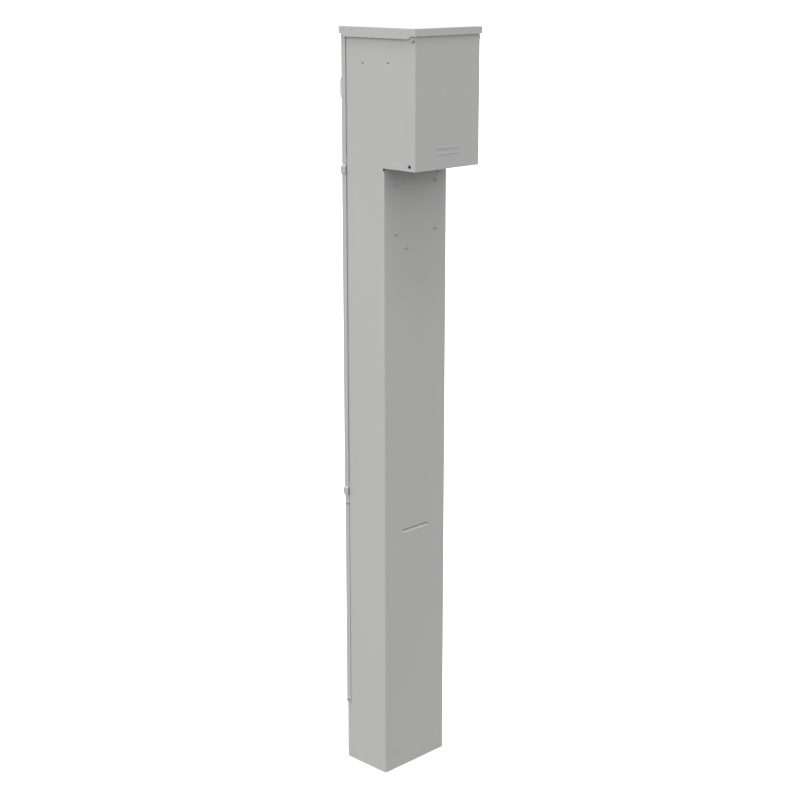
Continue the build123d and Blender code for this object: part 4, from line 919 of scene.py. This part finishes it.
class BuildBreakers(Operator):
    """The two breakers and their tilting levers."""

    bl_idname = "charging_post.build_breakers"
    bl_label = "Build breakers"

    def execute(self, context):
        use, size = materials(), context.scene.post_sizes
        for kind in ("main", "small"):
            rounded_copy(kind + "_breaker", use["moulding"], 0.6 * MM)
            rounded_copy(kind + "_lever", use["lever"], size.moulding_round)
        return {"FINISHED"}


class BuildInside(Operator):
    """Rubber parts, conductors, lugs and insulators."""

    bl_idname = "charging_post.build_inside"
    bl_label = "Build inside parts"

    def execute(self, context):
        use, size = materials(), context.scene.post_sizes
        for node in ("cover_bumpers", "cord_bushings"):
            rounded_copy(node, use["rubber"], size.moulding_round)
        for node in ("lug_block", "bus_insulator"):
            rounded_copy(node, use["moulding"], size.moulding_round)
        for node in ("line_lugs", "neutral_lug", "line_straps", "ground_bar"):
            rounded_copy(node, use["aluminium"], 0.4 * MM)
        rounded_copy("load_bus", use["copper"], 0.3 * MM)
        return {"FINISHED"}


# ---- stage -----------------------------------------------------------------------------


def soft_sun(name, strength, direction, angle):
    """A broad distant light that shines along a direction."""
    light = bpy.data.lights.new(name, "SUN")
    light.energy, light.angle = strength, math.radians(angle)
    lamp = bpy.data.objects.new(name, light)
    lamp.rotation_euler = Vector(direction).to_track_quat("-Z", "Y").to_euler()
    bpy.context.scene.collection.objects.link(lamp)


class BuildStage(Operator):
    """Camera, floor, surround and lights."""

    bl_idname = "charging_post.build_stage"
    bl_label = "Build stage"

    def execute(self, context):
        scene, stage = context.scene, context.scene.post_stage
        scene.view_settings.view_transform = "Standard"
        lens = bpy.data.cameras.new("camera")
        lens.lens, lens.clip_end = stage.camera_lens, 1000.0
        camera = bpy.data.objects.new("camera", lens)
        camera.location = stage.camera_place
        camera.rotation_euler = (math.pi / 2 - stage.camera_pitch, 0.0, -stage.camera_azimuth)
        scene.collection.objects.link(camera)
        scene.camera = camera

        half = stage.floor_size / 2
        mesh = bpy.data.meshes.new("floor")
        corners = [(-half, -half, 0), (half, -half, 0), (half, half, 0), (-half, half, 0)]
        mesh.from_pydata(corners, [], [(0, 1, 2, 3)])
        floor = bpy.data.objects.new("floor", mesh)
        scene.collection.objects.link(floor)
        paint = Finish("floor_paint", stage.floor, Roughness=0.9, Specular_IOR_Level=0.0)
        mesh.materials.append(paint.material)
        floor.visible_diffuse = floor.visible_glossy = False

        world = bpy.data.worlds.new("surround")
        world.use_nodes = True
        scene.world = world
        nodes, links = world.node_tree.nodes, world.node_tree.links
        split = nodes.new("ShaderNodeSeparateXYZ")
        links.new(nodes.new("ShaderNodeTexCoord").outputs["Generated"], split.inputs[0])
        height = nodes.new("ShaderNodeMapRange")
        height.interpolation_type = "SMOOTHSTEP"
        links.new(split.outputs["Z"], height.inputs["Value"])
        gradient = {"From Min": -0.25, "From Max": 0.25, "To Min": stage.glow, "To Max": stage.sky}
        for name, value in gradient.items():
            height.inputs[name].default_value = value
        background = nodes["Background"]
        background.inputs["Color"].default_value = (1, 1, 1, 1)
        # the camera sees plain white all round; only the light from the surround has the gradient
        seen = nodes.new("ShaderNodeMix")
        links.new(nodes.new("ShaderNodeLightPath").outputs["Is Camera Ray"], seen.inputs["Factor"])
        links.new(height.outputs["Result"], seen.inputs["A"])
        seen.inputs["B"].default_value = 1.0
        links.new(seen.outputs["Result"], background.inputs["Strength"])
        soft_sun("top_light", stage.top_sun, (0.05, 0.05, -1), 40)
        soft_sun("side_light", stage.side_sun, (1, 0, -0.25), 50)
        return {"FINISHED"}


class ChargingPostPanel(Panel):
    """Lists the settings and the operators."""

    bl_label = "Charging Post"
    bl_idname = "VIEW3D_PT_charging_post"
    bl_space_type = "VIEW_3D"
    bl_region_type = "UI"
    bl_category = "Charging Post"

    def draw(self, context):
        scene = context.scene
        for settings in (scene.post_finish, scene.post_sizes, scene.post_stage):
            box = self.layout.box()
            for name in settings.__annotations__:
                box.prop(settings, name)
        for operator in OPERATORS:
            self.layout.operator(operator.bl_idname)


SETTINGS = {"post_finish": PostFinish, "post_sizes": PostSizes, "post_stage": PostStage}
OPERATORS = (
    BuildStage, BuildSheets, BuildBadge, BuildFasteners,
    BuildMeter, BuildSockets, BuildBreakers, BuildInside,
)


def register():
    """Register the classes and hang the settings on the scene."""
    for kind in (*SETTINGS.values(), *OPERATORS, ChargingPostPanel):
        bpy.utils.register_class(kind)
    for name, kind in SETTINGS.items():
        setattr(bpy.types.Scene, name, PointerProperty(type=kind))


def unregister():
    """Take the settings off the scene and unregister the classes."""
    for name in SETTINGS:
        delattr(bpy.types.Scene, name)
    for kind in reversed((*SETTINGS.values(), *OPERATORS, ChargingPostPanel)):
        bpy.utils.unregister_class(kind)


def main():
    """Build everything in order."""
    register()
    for operator in OPERATORS:
        group, name = operator.bl_idname.split(".")
        getattr(getattr(bpy.ops, group), name)()


if __name__ == "__main__":
    main()
